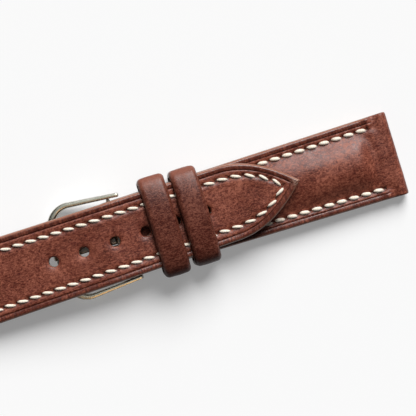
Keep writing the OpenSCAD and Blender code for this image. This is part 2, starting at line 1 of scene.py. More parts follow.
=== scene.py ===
"""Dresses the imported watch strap: waxed calf leather, linen saddle stitches and a
polished pin buckle, built piece by piece round the construction model."""
import math
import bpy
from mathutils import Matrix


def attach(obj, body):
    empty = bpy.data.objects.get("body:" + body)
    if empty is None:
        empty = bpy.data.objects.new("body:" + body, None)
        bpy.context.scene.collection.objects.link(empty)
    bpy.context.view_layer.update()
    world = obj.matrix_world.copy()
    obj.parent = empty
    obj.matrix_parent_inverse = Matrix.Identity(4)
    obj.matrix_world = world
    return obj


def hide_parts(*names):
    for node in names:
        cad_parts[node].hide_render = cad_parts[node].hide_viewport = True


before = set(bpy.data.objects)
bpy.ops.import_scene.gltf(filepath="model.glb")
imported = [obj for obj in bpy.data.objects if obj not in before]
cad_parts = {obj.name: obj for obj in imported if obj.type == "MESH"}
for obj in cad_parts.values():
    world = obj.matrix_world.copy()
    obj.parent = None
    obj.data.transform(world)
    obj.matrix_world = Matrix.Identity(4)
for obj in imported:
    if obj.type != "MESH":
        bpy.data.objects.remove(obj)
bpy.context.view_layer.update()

from types import SimpleNamespace

import bmesh
import bpy
import numpy as np
from bpy.props import FloatProperty, FloatVectorProperty, IntProperty, PointerProperty
from mathutils import Matrix, Vector
from mathutils.geometry import delaunay_2d_cdt
from mathutils.kdtree import KDTree

bl_info = {
    "name": "Watch strap dresser",
    "version": (1, 0, 0),
    "blender": (4, 5, 0),
    "location": "3D View > Sidebar > Strap",
    "description": "Builds the leather, thread and steel of a padded watch strap",
    "category": "Object",
}
MM = 0.001


def linear(hex_colour):
    """Turns an sRGB hex colour into the linear RGBA that the sockets take."""
    parts = [int(hex_colour[i:i + 2], 16) / 255 for i in (1, 3, 5)]
    return (*[c / 12.92 if c <= 0.04045 else ((c + 0.055) / 1.055) ** 2.4 for c in parts], 1.0)


def length(mm, name, description):
    """A length in metres whose default is given in millimetres."""
    return FloatProperty(name=name, description=description, default=mm * MM, unit="LENGTH",
                         precision=5)


def number(value, name, description, **settings):
    """A plain number."""
    return FloatProperty(name=name, description=description, default=value, **settings)


def angle(degrees, name, description):
    """An angle whose default is given in degrees."""
    return FloatProperty(name=name, description=description, default=math.radians(degrees),
                         subtype="ANGLE", unit="ROTATION")


def colour(hex_colour, name, description):
    """A colour whose default is given as sRGB hex."""
    return FloatVectorProperty(name=name, description=description, subtype="COLOR", size=4,
                               min=0, max=1, default=linear(hex_colour))


class StrapSizes(bpy.types.PropertyGroup):
    """Sizes of the two straps, as the construction model has them."""
    lug_w: length(20, "Lug width", "Strap width at the watch")
    buckle_w: length(18, "Buckle width", "Width of the short strap at the bar")
    upper_t: length(1.1, "Upper", "Thickness of the upper leather")
    lining_t: length(1.0, "Lining", "Thickness of the lining leather")
    short_core_t: length(0.9, "Short stiffener", "Thickness of the short strap's stiffener")
    long_core_t: length(0.5, "Long stiffener", "Thickness of the long strap's stiffener")
    lug_bore_r: length(0.95, "Lug passage", "Radius of the passage for the watch's bar")
    lug_wall: length(0.6, "Lug leather", "Leather round the passage")
    lug_strip_t: length(0.25, "Lug strip", "Reinforcing strip in the passage")
    turn_back: length(6, "Turned ends", "How far the upper runs back underneath")
    short_len: length(68.3, "Short length", "From the bar to the lug end")
    fold_reach: length(2.3, "Fold", "From the bar to the end of the fold")
    long_len: length(120, "Long length", "From the point to the lug end")
    tip_w: length(17.7, "Tip width", "Width where the point begins")
    tip_len: length(17.5, "Tip length", "Length of the pointed end")
    tuck: length(43.7, "Tuck", "From the bar to the point, tucked in")
    yaw: angle(1.3, "Turn", "Angle between the two straps")
    fall: angle(7, "Fall", "Slope of the long strap down to the table")
    hole_pitch: length(7.36, "Hole spacing", "From hole to hole")
    hole_d: length(2.35, "Hole diameter", "Diameter of a hole")
    hole_first: length(23, "First hole", "From the point to the first hole")
    hole_n: IntProperty(name="Holes", description="Number of holes", default=6, min=1)


class ReliefSizes(bpy.types.PropertyGroup):
    """The forms pressed into the leather: crown, raised border, crease and seam."""
    crown: length(2.25, "Crown", "Height of the padded crown")
    pad_border: length(3.4, "Pad border", "Flat border beside the padding")
    long_pad_len: length(38, "Long padding", "Length of the padding on the long strap")
    pad_slope: angle(5, "Pad slope", "Slope at the start of the padding")
    edge_round: length(0.55, "Edge rounding", "Radius of the burnished edge")
    crease: length(1.42, "Crease", "From the edge to the creased line")
    crease_depth: length(0.2, "Crease depth", "Depth of the creased line")
    bead: length(0.14, "Bead", "Height of the raised border outside the crease")
    hole_lip: length(0.45, "Hole lip", "Width of the rounding round a hole")
    waves: length(0.06, "Waves", "Height of the leather's slow unevenness")


class StitchSizes(bpy.types.PropertyGroup):
    """Sizes of the saddle stitching."""
    pitch: length(3.05, "Pitch", "One stitch with its gap")
    gap: length(0.72, "Gap", "Between the ends of two stitches")
    thread_d: length(0.76, "Thread", "Width of the flattened thread")
    long_inset: length(3.1, "Long inset", "From the edge to the seam, long strap")
    short_inset: length(2.6, "Short inset", "From the edge to the seam, short strap")
    slant: angle(-15, "Slant", "How far a stitch turns from its seam")
    tip_ease: length(1.4, "Tip ease", "How much longer the seven stitches round the point are together")
    sink: length(0.2, "Sink", "How deep the thread pulls the leather in")


class KeeperSizes(bpy.types.PropertyGroup):
    """Sizes of the fixed and the free keeper."""
    length: length(6.3, "Length", "Length of a keeper along the strap")
    leather_t: length(1.4, "Leather", "Thickness of a keeper's leather")
    fixed_x: length(10.5, "Fixed keeper", "From the bar to its middle")
    gap: length(1.25, "Gap", "Between the two keepers")
    fixed_w: length(21, "Fixed width", "Inner width of the fixed keeper")
    free_w: length(20.2, "Free width", "Inner width of the free keeper")
    slack: length(0.95, "Slack", "Free height above the long strap")
    outer_round: length(2.2, "Corners", "Outer radius of the corners")
    rim_round: length(1.05, "Rims", "Radius of the rims")
    sag: length(2.1, "Sag", "How much lower the top is at its corners than in the middle")
    thinned: length(0.5, "Thinned", "How much thinner the leather is inside its top corners")


class BuckleSizes(bpy.types.PropertyGroup):
    """Sizes of the buckle, its tongue and its bar."""
    bow_reach: length(15.7, "Bow reach", "From the bar to the outside of the bow")
    arm_reach: length(2.7, "Arm reach", "From the bar to the end of the arms")
    bow_w: length(23.4, "Bow width", "Widest outer width")
    frame_t: length(1.8, "Frame", "Thickness of the frame")
    bow_bar: length(2.1, "Bow bar", "Width of the bow seen from above")
    arm_w: length(1.0, "Arm", "Width of an arm at the hinge")
    arm_gap: length(0.45, "Arm gap", "Between the fold and each arm")
    tongue_w: length(2.0, "Tongue width", "Width of the tongue")
    tongue_t: length(1.0, "Tongue", "Thickness of the tongue")
    bar_r: length(0.75, "Bar", "Radius of the bar's tube")


def millimetres(group):
    """A property group's lengths as plain numbers in mm, and its other values as they are."""
    values = {}
    for name in group.bl_rna.properties.keys():
        prop = group.bl_rna.properties[name]
        value = getattr(group, name)
        if getattr(prop, "unit", "NONE") == "LENGTH":
            value = value / MM
        values[name] = value
    return SimpleNamespace(**values)


# Fixed lengths of the construction model, in mm.
BEND_R = 60.0           # radius of the long strap's bends
RAMP_GAP = 1.2          # from the free keeper to where the strap starts to rise
BEND_X = 0.5            # where the strap starts to fall, from the bar
YAW_X = 8.0             # where the middle lines of the straps cross, from the bar
LUG_RAMP = 3.0          # length over which a strap thickens towards its lug passage
SEAM_STOP = 2.5         # in the model, from that thickening to the last stitch
SEAM_ON = 1.05          # how much further the short strap's seam runs in the picture
REST_GAP = 0.3          # between the straps where one lies on the other
RUN = 0.05              # play of a part that turns or slides
PAD_DIP = 0.15          # how far under the leather the slope of the padding starts
PAD_STEP = 6.5          # length over which the padding ends at the lug
PAD_SOFT = 0.2          # softness of the padding's upper bends
ROUTE_STEP = 0.05       # between the points of the long strap's route
APEX_INSET = 1.32       # how much further in an inset line's apex lies than its sides
THREAD_R = 0.35         # half the model's thread, from which the lug strip stays clear


class Layout:
    """Where everything lies, in mm: the rules of the construction model in array form."""

    def __init__(self, scene):
        self.strap = s = millimetres(scene.strap_sizes)
        self.relief = r = millimetres(scene.relief_sizes)
        self.stitch = millimetres(scene.stitch_sizes)
        self.keeper = k = millimetres(scene.keeper_sizes)
        self.buckle = millimetres(scene.buckle_sizes)
        self.short_t = s.upper_t + s.short_core_t + s.lining_t
        self.half_t = self.short_t / 2
        self.long_t = s.upper_t + s.long_core_t + s.lining_t
        self.lug_r = s.lug_bore_r + s.lug_strip_t + s.lug_wall
        self.lug_x = s.short_len - self.lug_r
        self.lug_z = self.lug_r - self.half_t
        self.lug_flat = 1.2 * self.lug_r
        self.strip_start = self.lug_flat + SEAM_STOP - THREAD_R - REST_GAP / 2
        self.free_x = k.fixed_x + k.length + k.gap
        self.keeper_end = self.free_x + k.length / 2
        self.long_z = self.half_t + REST_GAP
        self.keeper_top = self.long_z + self.long_t + k.slack
        self.keeper_drop = RUN + k.leather_t
        run = self.lug_x - self.keeper_end
        rise = self.keeper_drop + self.lug_r
        self.lean = math.atan2(rise, run) - math.asin(self.lug_r / math.hypot(run, rise))
        self.bar_x = (s.long_len - s.tuck - s.short_len) / 2
        self.bar_z = self.lug_x * math.sin(self.lean) - self.lug_z * math.cos(self.lean) + self.lug_r
        self.ramp_x = self.keeper_end + RAMP_GAP
        slope, fall, lean = r.pad_slope, s.fall, self.lean
        self.s_ramp = (s.tuck - self.ramp_x - BEND_R * math.sin(slope)) / math.cos(slope)
        self.s_level = self.s_ramp + BEND_R * slope
        self.s_bend = self.s_level + self.ramp_x - BEND_X
        self.s_fall = self.s_bend + BEND_R * fall
        drop = self.long_z - BEND_R * (1 + math.cos(lean) - 2 * math.cos(fall)) + self.bar_z / math.cos(lean)
        ahead = BEND_X - BEND_R * (2 * math.sin(fall) - math.sin(lean))
        steepness = math.sin(fall) - math.cos(fall) * math.tan(lean)
        self.s_flat = self.s_fall + (drop - ahead * math.tan(lean)) / steepness
        self.s_table = self.s_flat + BEND_R * (fall - lean)
        self.s_lug = s.long_len - self.lug_r
        self.long_seam_end = self.s_lug - self.lug_flat - SEAM_STOP
        self.short_seam_end = self.lug_x - self.lug_flat - SEAM_STOP + SEAM_ON
        self.short_pad_start = self.ramp_x + BEND_R * math.sin(slope) / 2 + 0.2 - PAD_DIP / math.tan(slope)
        self.short_pad_len = self.lug_x - self.lug_flat - self.short_pad_start
        self.long_pad_start = self.s_lug - self.lug_flat - r.long_pad_len
        # What both straps have: a function for their points and one for half their width, the
        # levels of their two faces, start and length of the padding, and centre of the lug passage.
        self.straps = {
            "long": SimpleNamespace(
                put=self.long_place, half=self.long_half, top=self.long_t, under=0.0,
                pad=(self.long_pad_start, r.long_pad_len), lug=(self.s_lug, self.lug_r),
                seam_end=self.long_seam_end, inset=self.stitch.long_inset),
            "short": SimpleNamespace(
                put=self.on_table, half=self.short_half, top=self.half_t, under=-self.half_t,
                pad=(self.short_pad_start, self.short_pad_len), lug=(self.lug_x, self.lug_z),
                seam_end=self.short_seam_end, inset=self.stitch.short_inset)}
        self._route()

    def _route(self):
        """Tables of the long strap's underside: place and slope at each distance from the point."""
        self.route_s = np.arange(-6, self.strap.long_len + 8, ROUTE_STEP)
        slope = np.interp(self.route_s,
                          [self.s_ramp, self.s_level, self.s_bend, self.s_fall, self.s_flat, self.s_table],
                          [self.relief.pad_slope, 0, 0, self.strap.fall, self.strap.fall, self.lean])
        mid = (slope[1:] + slope[:-1]) / 2
        x = np.concatenate([[0], -np.cumsum(np.cos(mid)) * ROUTE_STEP])
        z = np.concatenate([[0], -np.cumsum(np.sin(mid)) * ROUTE_STEP])
        x += self.ramp_x - np.interp(self.s_level, self.route_s, x)
        z -= np.interp(self.s_level, self.route_s, z)
        self.route_x, self.route_z, self.route_a = x, z, slope

    def walk(self, s):
        """Place and slope of the long strap's underside at a distance from the point."""
        return (np.interp(s, self.route_s, self.route_x), np.interp(s, self.route_s, self.route_z),
                np.interp(s, self.route_s, self.route_a))

    def on_table(self, x, y, z):
        """A point of the short strap in the part's frame: distance from the bar, across, and
        height above mid thickness."""
        c, s = math.cos(self.lean), math.sin(self.lean)
        return np.stack([self.bar_x + x * c + z * s, np.broadcast_to(y, np.shape(x)) * 1.0,
                         self.bar_z - x * s + z * c], axis=-1)

    def long_place(self, s, y, n):
        """A point of the long strap: distance from the point, across, height above its underside."""
        px, pz, a = self.walk(s)
        x, z = px - n * np.sin(a), pz + n * np.cos(a)
        c, t = math.cos(self.strap.yaw), math.sin(self.strap.yaw)
        dx = x - YAW_X
        return self.on_table(YAW_X + dx * c - y * t, dx * t + y * c, z + self.long_z)

    def short_half(self, x):
        """Half the short strap's width at a distance from the bar."""
        s = self.strap
        return (s.buckle_w + (s.lug_w - s.buckle_w) * x / s.short_len) / 2

    def long_half(self, s):
        """Half the long strap's width at a distance from the point, as if it had straight edges."""
        w = self.strap
        return (w.tip_w + (w.lug_w - w.tip_w) * (s - w.tip_len) / (w.long_len - w.tip_len)) / 2

    def tip_curve(self, inset, bulge, steps):
        """Half of the pointed end, moved in by an inset, from its apex to the straight edge."""
        s = self.strap
        half = self.long_half(s.tip_len) - inset
        apex = APEX_INSET * inset
        t = np.linspace(0, 1, steps)[:, None]
        p0, p1, p2 = (np.array(p) for p in ((apex, 0), (s.tip_len / 2 + bulge, half), (s.tip_len, half)))
        return (1 - t) ** 2 * p0 + 2 * t * (1 - t) * p1 + t * t * p2

    def crown(self, d, total, v):
        """Height of the padded crown at a distance along it and a share of its half width."""
        r = self.relief
        up = d * math.tan(r.pad_slope) - PAD_DIP
        end = np.clip(1 - (total - d) / PAD_STEP, 0, 1)
        down = (r.crown + PAD_DIP) * (1 + np.cos(math.pi * end)) / 2 - PAD_DIP
        height = -PAD_SOFT * np.log(sum(np.exp(-h / PAD_SOFT) for h in (up, r.crown, down)))
        inside = (np.abs(v) < 1) & (d > 0) & (d < total)
        form = (np.minimum(height, r.crown) + PAD_DIP) * (1 - np.minimum(np.abs(v), 1) ** 2.2) - PAD_DIP
        return np.where(inside, np.maximum(form, 0), 0)


def smooth_line(points, spacing):
    """A line of points with even spacing."""
    points = np.asarray(points, float)
    run = np.concatenate([[0], np.cumsum(np.linalg.norm(np.diff(points, axis=0), axis=1))])
    at = np.linspace(0, run[-1], max(2, int(round(run[-1] / spacing)) + 1))
    return np.stack([np.interp(at, run, points[:, i]) for i in range(points.shape[1])], axis=1)


def waves(a, b, seed):
    """Slow unevenness of hide, between about -1 and 1."""
    rng = np.random.default_rng(seed)
    total = np.zeros(np.shape(a))
    for size in (9.0, 5.0, 2.9, 1.9):
        turn, shift = rng.uniform(0, math.pi), rng.uniform(0, 2 * math.pi, 2)
        along = (a * math.cos(turn) + b * math.sin(turn)) * 2 * math.pi / size
        across = (b * math.cos(turn) - a * math.sin(turn)) * 2 * math.pi / size
        wave = np.sin(along + shift[0] + np.sin(across * 0.7)) * np.sin(across + shift[1])
        total += wave * (size / 9) ** 0.7
    return total / 2.2


def triangles(points, edges, inside):
    """Constrained triangles of a flat panel, without those whose middle isn't inside."""
    flat = [Vector(p) for p in points]
    verts, _, faces, origins, _, _ = delaunay_2d_cdt(flat, edges, [], 0, 1e-5)
    verts = np.array([v[:] for v in verts])
    faces = np.array([f for f in faces if len(f) == 3])
    middle = verts[faces].mean(axis=1)
    faces = faces[inside(middle[:, 0], middle[:, 1])]
    return verts, faces, origins


def closest(points):
    """A function that gives the nearest of these flat points and the distance to it."""
    tree = KDTree(len(points))
    for i, p in enumerate(points):
        tree.insert((p[0], p[1], 0), i)
    tree.balance()

    def find(p):
        spot, _, away = tree.find((p[0], p[1], 0))
        return spot, away
    return find


def nearest(points):
    """A function that gives the distance from a flat point to the nearest of these."""
    find = closest(points)
    return lambda p: find(p)[1]


def both_sides(line):
    """A line of the +v side together with its mirror image."""
    return np.concatenate([line, line * [1, -1]])


def rim_edges(faces):
    """The directed edges that only one triangle has."""
    sides = np.concatenate([faces[:, [0, 1]], faces[:, [1, 2]], faces[:, [2, 0]]])
    key = np.sort(sides, axis=1)
    _, first, count = np.unique(key, axis=0, return_index=True, return_counts=True)
    return sides[first[count == 1]]


def new_piece(name, points, faces, body, slot, material, replaced, marks=None):
    """Makes a finished piece from points in mm; marks are named numbers stored on its points."""
    mesh = bpy.data.meshes.new(name)
    points = np.array(points, float)
    if not np.isfinite(points).all():
        raise ValueError(f"{name} has a point without a place")
    points[:, 2] = np.maximum(points[:, 2], 0.0)        # soft leather lies flat on the table
    mesh.from_pydata((points * MM).tolist(), [], [list(f) for f in faces])
    for label, values in (marks or {}).items():
        mark = mesh.attributes.new(label, "FLOAT", "POINT")
        mark.data.foreach_set("value", np.asarray(values, np.float32))
    mesh.validate()
    work = bmesh.new()
    work.from_mesh(mesh)
    bmesh.ops.recalc_face_normals(work, faces=work.faces)
    work.to_mesh(mesh)
    work.free()
    return place_piece(bpy.data.objects.new(name, mesh), body, slot, material, replaced)


def place_piece(piece, body, slot, material, replaced, sharp=40):
    """Links a piece to the scene, gives it its finish, hangs it under its body and hides the parts it
    replaces.
    """
    if piece.name not in bpy.context.scene.collection.objects:
        bpy.context.scene.collection.objects.link(piece)
    mesh = piece.data
    mesh.shade_smooth()
    if sharp:
        mesh.set_sharp_from_angle(angle=math.radians(sharp))
    mesh.materials.clear()
    mesh.materials.append(material)
    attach(piece, body)
    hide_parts(*replaced)
    return piece


class Sheet:
    """A layer of leather or felt that follows a section curve along a strap and is cut to a plan.

    section is a list of rows (outer place, outer height, inner place, inner height); the plan's
    first coordinate is the distance along the outer line, and its second runs across."""

    def __init__(self, layout, strap, section, top=(0, -1)):
        self.lay, self.strap, self.top = layout, strap, top
        rows = np.asarray(section, float)
        self.u = np.concatenate([[0], np.cumsum(np.hypot(np.diff(rows[:, 0]), np.diff(rows[:, 1])))])
        self.rows = rows
        self.put, self.half = layout.straps[strap].put, layout.straps[strap].half

    def at(self, u, column):
        """A column of the section at a distance along the outer line."""
        return np.interp(u, self.u, self.rows[:, column])

    def width(self, u):
        """Half the width at a distance along the outer line."""
        p = self.at(u, 0)
        half = self.half(p)
        if self.strap == "long":
            tip = self.lay.tip_curve(0, 0, 400)
            half = np.where(p < self.lay.strap.tip_len, np.interp(p, tip[:, 0], tip[:, 1]), half)
        return half

    def outer(self, u, v):
        """The outer face's point at a place of the plan."""
        return self.put(self.at(u, 0), v, self.at(u, 1))

    def inner(self, u, v):
        """The inner face's point at a place of the plan."""
        return self.put(self.at(u, 2), v, self.at(u, 3))

    def normal(self, u, v):
        """The outer face's direction, away from the inner face."""
        step = 0.02
        du = self.outer(u + step, v) - self.outer(u - step, v)
        dv = self.outer(u, v + step) - self.outer(u, v - step)
        n = np.cross(du, dv)
        n /= np.maximum(np.linalg.norm(n, axis=1, keepdims=True), 1e-9)
        toward = self.outer(u, v) - self.inner(u, v)
        return n * np.sign(np.sum(n * toward, axis=1, keepdims=True))


ROW_CLEAR = 0.3         # how far rows along the edge stay from a panel's straight ends
GRID_CLEAR = 0.2        # how far the field's points stay from the rows
HOLE_RIM = 0.6          # a rim this far from the outline is a hole's
WALL_BULGE = 0.05       # how far the middle of a cut wall stands out
CALM_SHIFT = 3          # how far in, for its finish, the border fades out at the lug end


def plan_lines(half, tipped, offsets, holes, extra_lines):
    """Points and edges of a plan's lines: its outline, the rows inside it, the rings round the
    holes and the extra lines."""
    points, edges = [], []

    def add_line(line, closed=False):
        start = len(points)
        points.extend(line.tolist())
        edges.extend((start + i, start + i + 1) for i in range(len(line) - 1))
        if closed:
            edges.append((start + len(line) - 1, start))

    tangent = np.gradient(half, axis=0)
    tangent /= np.linalg.norm(tangent, axis=1, keepdims=True)
    inward = np.stack([tangent[:, 1], -tangent[:, 0]], axis=1)
    loop = np.concatenate([half, (half * [1, -1])[::-1][(0 if half[-1, 1] > 1e-6 else 1):]])
    add_line(loop[:-1] if tipped else loop, closed=True)
    for d in offsets:
        row = half + inward * d
        first_u = half[0, 0] + (0 if tipped else ROW_CLEAR)
        row = row[(row[:, 1] > 0.08) & (row[:, 0] > first_u) & (row[:, 0] < half[-1, 0] - ROW_CLEAR)]
        if tipped and len(row):
            first = row[0] if row[0, 0] < row[1, 0] else row[np.argmin(row[:, 0])]
            row = np.concatenate([[[first[0] - first[1] * 0.9, 0]], row])
            add_line(np.concatenate([(row * [1, -1])[::-1][:-1], row]))
        else:
            add_line(row)
            add_line(row * [1, -1])
    for line in extra_lines:
        add_line(line)
    turn = np.linspace(0, 2 * math.pi, 33)[:-1]
    for ring in holes:
        for radius in ring["radii"]:
            circle = np.stack([ring["u"] + radius * np.cos(turn), radius * np.sin(turn)], axis=1)
            add_line(circle, closed=True)
    return points, edges


def build_sheet(sheet, outline, offsets, holes, relief, inside, field, coarse, spacing=0.34,
                extra_lines=(), awl=None, calm=None):
    """Points, faces and marks of a closed leather layer: an outer face with its relief, a plain
    inner face and a cut wall between them.

    outline is the plan's half line from one end to the other on the +v side, and offsets the
    distances inward at which rows of points follow it. relief(u, v, d) is the height added to the
    outer face, where d is the distance from the plan's edge."""
    half = smooth_line(outline, spacing)
    points, edges = plan_lines(half, half[0, 1] < 1e-6, offsets, holes, extra_lines)
    edge_line, taken = nearest(both_sides(half)), nearest(points)
    clear = max(offsets) + GRID_CLEAR
    grid = field[[edge_line(p) > clear and taken(p) > GRID_CLEAR for p in field]]
    grid = grid[inside(grid[:, 0], grid[:, 1])]
    plan, faces, _ = triangles(points + grid.tolist(), edges, inside)
    u, v = plan[:, 0], plan[:, 1]
    d = np.array([edge_line(p) for p in plan])
    outer = sheet.outer(u, v) + sheet.normal(u, v) * relief(u, v, d)[:, None]

    rim = rim_edges(faces)
    rim_points = np.unique(rim)
    order = {p: i for i, p in enumerate(rim_points.tolist())}
    back, back_faces, origins = triangles([list(plan[i]) for i in rim_points] + coarse.tolist(),
                                          [(order[int(a)], order[int(b)]) for a, b in rim], inside)
    inner = sheet.inner(back[:, 0], back[:, 1])
    opposite = {}
    for i, source in enumerate(origins):
        for one in source:
            if one < len(rim_points):
                opposite[int(rim_points[one])] = i

    pu, pv = plan[rim_points, 0], plan[rim_points, 1]
    side = sheet.outer(pu, pv + 0.1 * np.sign(pv)) - sheet.outer(pu, pv)
    side /= np.maximum(np.linalg.norm(side, axis=1, keepdims=True), 1e-6)
    outward = np.where(d[rim_points, None] > HOLE_RIM, 0, side)
    inner_rim = np.array([inner[opposite[p]] for p in order])
    middle = outer[rim_points] * 0.5 + inner_rim * 0.5 + outward * WALL_BULGE
    base, wall_at = len(plan), len(plan) + len(back)
    all_faces = [tuple(f) for f in faces] + [tuple(f[::-1] + base) for f in back_faces]
    for pair in rim.tolist():
        one, two = [(p, wall_at + order[p], base + opposite[p]) for p in pair]
        all_faces += [(one[k], one[k + 1], two[k + 1], two[k]) for k in (0, 1)]
    unseen = np.zeros(len(back) + len(middle))
    marks = {
        "edge_mm": np.append(d + (CALM_SHIFT * calm(u) if calm else 0), unseen),
        "along_mm": np.concatenate([u, back[:, 0], pu]),
        "wall": np.append(np.zeros(len(plan)), unseen + 1),
    }
    if awl:
        marks["awl"] = np.append(awl(u, v), unseen)
        if sheet.strap == "long":
            marks["worn"] = np.append(2 * bell(np.hypot(u - 0.3, v), 1.3), unseen)
    return np.concatenate([outer, inner, middle]), all_faces, marks


# Distances from the edge, and from the seam, at which rows of points follow them, in mm.
EDGE_ROWS = (0.05, 0.12, 0.22, 0.35, 0.52, 0.72, 0.95, 1.15, 1.27, 1.34, 1.42, 1.5, 1.58, 1.72, 1.95)
SEAM_ROWS = (-0.75, -0.5, -0.3, -0.12, 0.12, 0.3, 0.5, 0.75)
HOLE_ROWS = (0, 0.06, 0.14, 0.24, 0.36, 0.55)
LINING_EDGE_ROWS = (0.06, 0.16, 0.3, 0.5)
FOLD_CORE = 1.1         # from the bar's bore to the stiffener
SLOT_REACH = 0.9        # how far the tongue's slot runs beyond the fold
TIP_EASE_OVER = 7       # stitches that share the extra length round the point
LUG_SIDE_FADE = 1.6     # length over which the border fades out before the lug end's roll
CALM_FADE = 1.4         # length over which the pressed border fades out past the seam
CALM_REACH = 5.5        # how far down the lug end's roll it stays away
LUG_BOW = 0.007         # how fast the lug end's top falls away from its middle, per mm
SEAM_WIDE = 0.5         # half width of the dip along a seam
SEAM_SWELL = 0.05       # height of the leather pushed up beside it
AWL_LEAN = 52           # degrees between an awl's slit and the strap's length
AWL_LONG, AWL_WIDE = 0.55, 0.24     # half length and half width of a slit
AWL_DEPTH = 0.22        # how deep it presses the leather in
PULL_DEPTH = 0.3        # depth of the hollow that the last, doubled stitch pulls
HOLE_FALL = 0.38        # how far the lip of a hole falls
HOLE_SAG, HOLE_SAG_WIDE = 0.2, 0.8  # the slow hollow round a used hole
LINING_PRESS = 0.38     # depth of the lining's channel along a seam
LINING_ROUND = 0.35     # rounding of the lining's edge
LINING_GRAIN = 0.02     # height of its unevenness


def hex_field(u0, u1, half, spacing):
    """Evenly spaced points of a panel's field."""
    rows = []
    for i, u in enumerate(np.arange(u0, u1, spacing * 0.866)):
        w = float(half(np.array([u]))[0])
        v = np.arange(-w + (i % 2) * spacing / 2, w, spacing)
        rows.append(np.stack([np.full(len(v), u), v], axis=1))
    return np.concatenate(rows)


def bell(x, width):
    """A smooth bump of height 1 round 0."""
    return np.exp(-(x / width) ** 2)


def arc_rows(cx, cz, r_out, ix, iz, r_in, a0, a1, n):
    """Rows of a section that turns about a centre: outer circle and inner circle."""
    turns = [(math.cos(a), math.sin(a)) for a in np.radians(np.linspace(a0, a1, n))]
    return [(cx + r_out * c, cz + r_out * s, ix + r_in * c, iz + r_in * s) for c, s in turns]


def ramp_rows(start, end):
    """Rows of a section that rises smoothly from one row to another."""
    rows = []
    for t in np.linspace(0, 1, 14):
        rise = t * t * (3 - 2 * t)
        rows.append([a + (b - a) * share for a, b, share in zip(start, end, (t, rise, t, rise))])
    return rows


def lug_rows(lay, strap):
    """Rows of a section's end: it thickens, turns round the lug passage and runs back underneath."""
    s, side = lay.strap, lay.straps[strap]
    x, z = side.lug
    bore, flat, low = s.lug_bore_r + s.lug_strip_t, x - lay.lug_flat, side.under + s.lining_t
    rows = ramp_rows((flat - LUG_RAMP, side.top, flat - LUG_RAMP, side.top - s.upper_t),
                     (flat, z + lay.lug_r, flat, z + s.lug_strip_t))
    rows += arc_rows(x, z, lay.lug_r, x, z, bore, 90, -90, 28)
    for back, inner in ((1.5, z - bore * 0.75), (lay.strip_start, low + 0.2), (s.turn_back, low)):
        rows.append((x - back, side.under, x - back, inner))
    return rows


def upper_section(lay, strap):
    """Section of a strap's upper leather, and the numbers of the rows where its top starts and
    reaches the lug passage. The short strap's begins underneath and folds round the bar."""
    s, h = lay.strap, lay.half_t
    if strap == "long":
        return [(0, lay.long_t, 0, lay.long_t - s.upper_t)] + lug_rows(lay, strap), (0, 14)
    centre, bar = h - s.fold_reach, lay.buckle.bar_r + RUN
    core, low = bar + FOLD_CORE, s.lining_t - h
    rows = [(s.turn_back, -h, s.turn_back, low), (core, -h, core, low), (centre, -h, 0, -bar)]
    rows += arc_rows(centre, 0, h, 0, 0, bar, 270, 90, 24)
    return rows + [(core, h, core, h - s.upper_t)] + lug_rows(lay, strap), (26, 41)


def seam_line(lay, strap):
    """The +v half of a strap's seam, on the plan of its upper leather."""
    s, side = lay.strap, lay.straps[strap]
    if strap == "long":
        run = np.append(np.arange(s.tip_len + 1, side.seam_end, 2.0), side.seam_end)
        rest = np.stack([run, side.half(run) - side.inset], axis=1)
        return np.concatenate([lay.tip_curve(side.inset, 0.4, 60), rest])
    x = np.linspace(s.fold_reach + 1.2, side.seam_end, 40)
    return np.stack([x, side.half(x) - side.inset], axis=1)


def stitch_places(lay, strap):
    """Middle and direction of each stitch on the +v side, and the holes between them."""
    line, pitch, ease = seam_line(lay, strap), lay.stitch.pitch, lay.stitch.tip_ease
    if strap == "short":
        line, ease = line[::-1], 0.0
    run = np.concatenate([[0], np.cumsum(np.linalg.norm(np.diff(line, axis=0), axis=1))])
    ends = np.arange(int((run[-1] - ease) // pitch) + 1) * pitch
    ends += ease * np.minimum(1, ends / (TIP_EASE_OVER * pitch))

    def point(at):
        return np.stack([np.interp(at, run, line[:, 0]), np.interp(at, run, line[:, 1])], axis=1)

    mids = (ends[:-1] + ends[1:]) / 2
    way = point(mids + 0.3) - point(mids - 0.3)
    return point(mids), way / np.linalg.norm(way, axis=1, keepdims=True), point(ends)


def seam_relief(lay, strap, shift):
    """A function for the leather drawn in along the seam, deepest at the stitch holes."""
    line = smooth_line(seam_line(lay, strap), 0.1)
    to_line = nearest(both_sides(line + [shift, 0]))
    to_hole = nearest(both_sides(stitch_places(lay, strap)[2] + [shift, 0]))
    sink = lay.stitch.sink

    def relief(u, v):
        places = np.stack([u, v], axis=1)
        dl, dh = (np.array([away(p) for p in places]) for away in (to_line, to_hole))
        return (-sink * bell(dl, SEAM_WIDE) - 0.7 * sink * bell(dh, 0.42)
                + SEAM_SWELL * bell(dl - 1.1, SEAM_WIDE))
    return relief


def edge_relief(r, d, calm):
    """Height of the burnished rounding, the raised border and the crease inside it."""
    inner = np.clip(r.edge_round - d, 0, None)
    drop = r.edge_round - np.sqrt(np.maximum(r.edge_round ** 2 - inner ** 2, 0))
    return (r.bead * bell(d - 0.62, 0.5) - r.crease_depth * bell(d - r.crease, 0.12)) * (1 - calm) - drop


def awl_marks(lay, strap, shift):
    """A function for how near a point is to the slanting slits that the awl left between stitches."""
    find = closest(both_sides(stitch_places(lay, strap)[2] + [shift, 0]))
    lean = math.radians(AWL_LEAN)
    c, s = math.cos(lean) * (-1 if strap == "long" else 1), math.sin(lean)

    def marks(u, v):
        out = np.zeros(len(u))
        for i, p in enumerate(zip(u, v)):
            near = find(p)[0]
            a, b = p[0] - near[0], p[1] - near[1]
            along, across = a * c + b * s, b * c - a * s
            out[i] = math.exp(-(along / AWL_LONG) ** 2 - (across / AWL_WIDE) ** 2)
        return out
    return marks


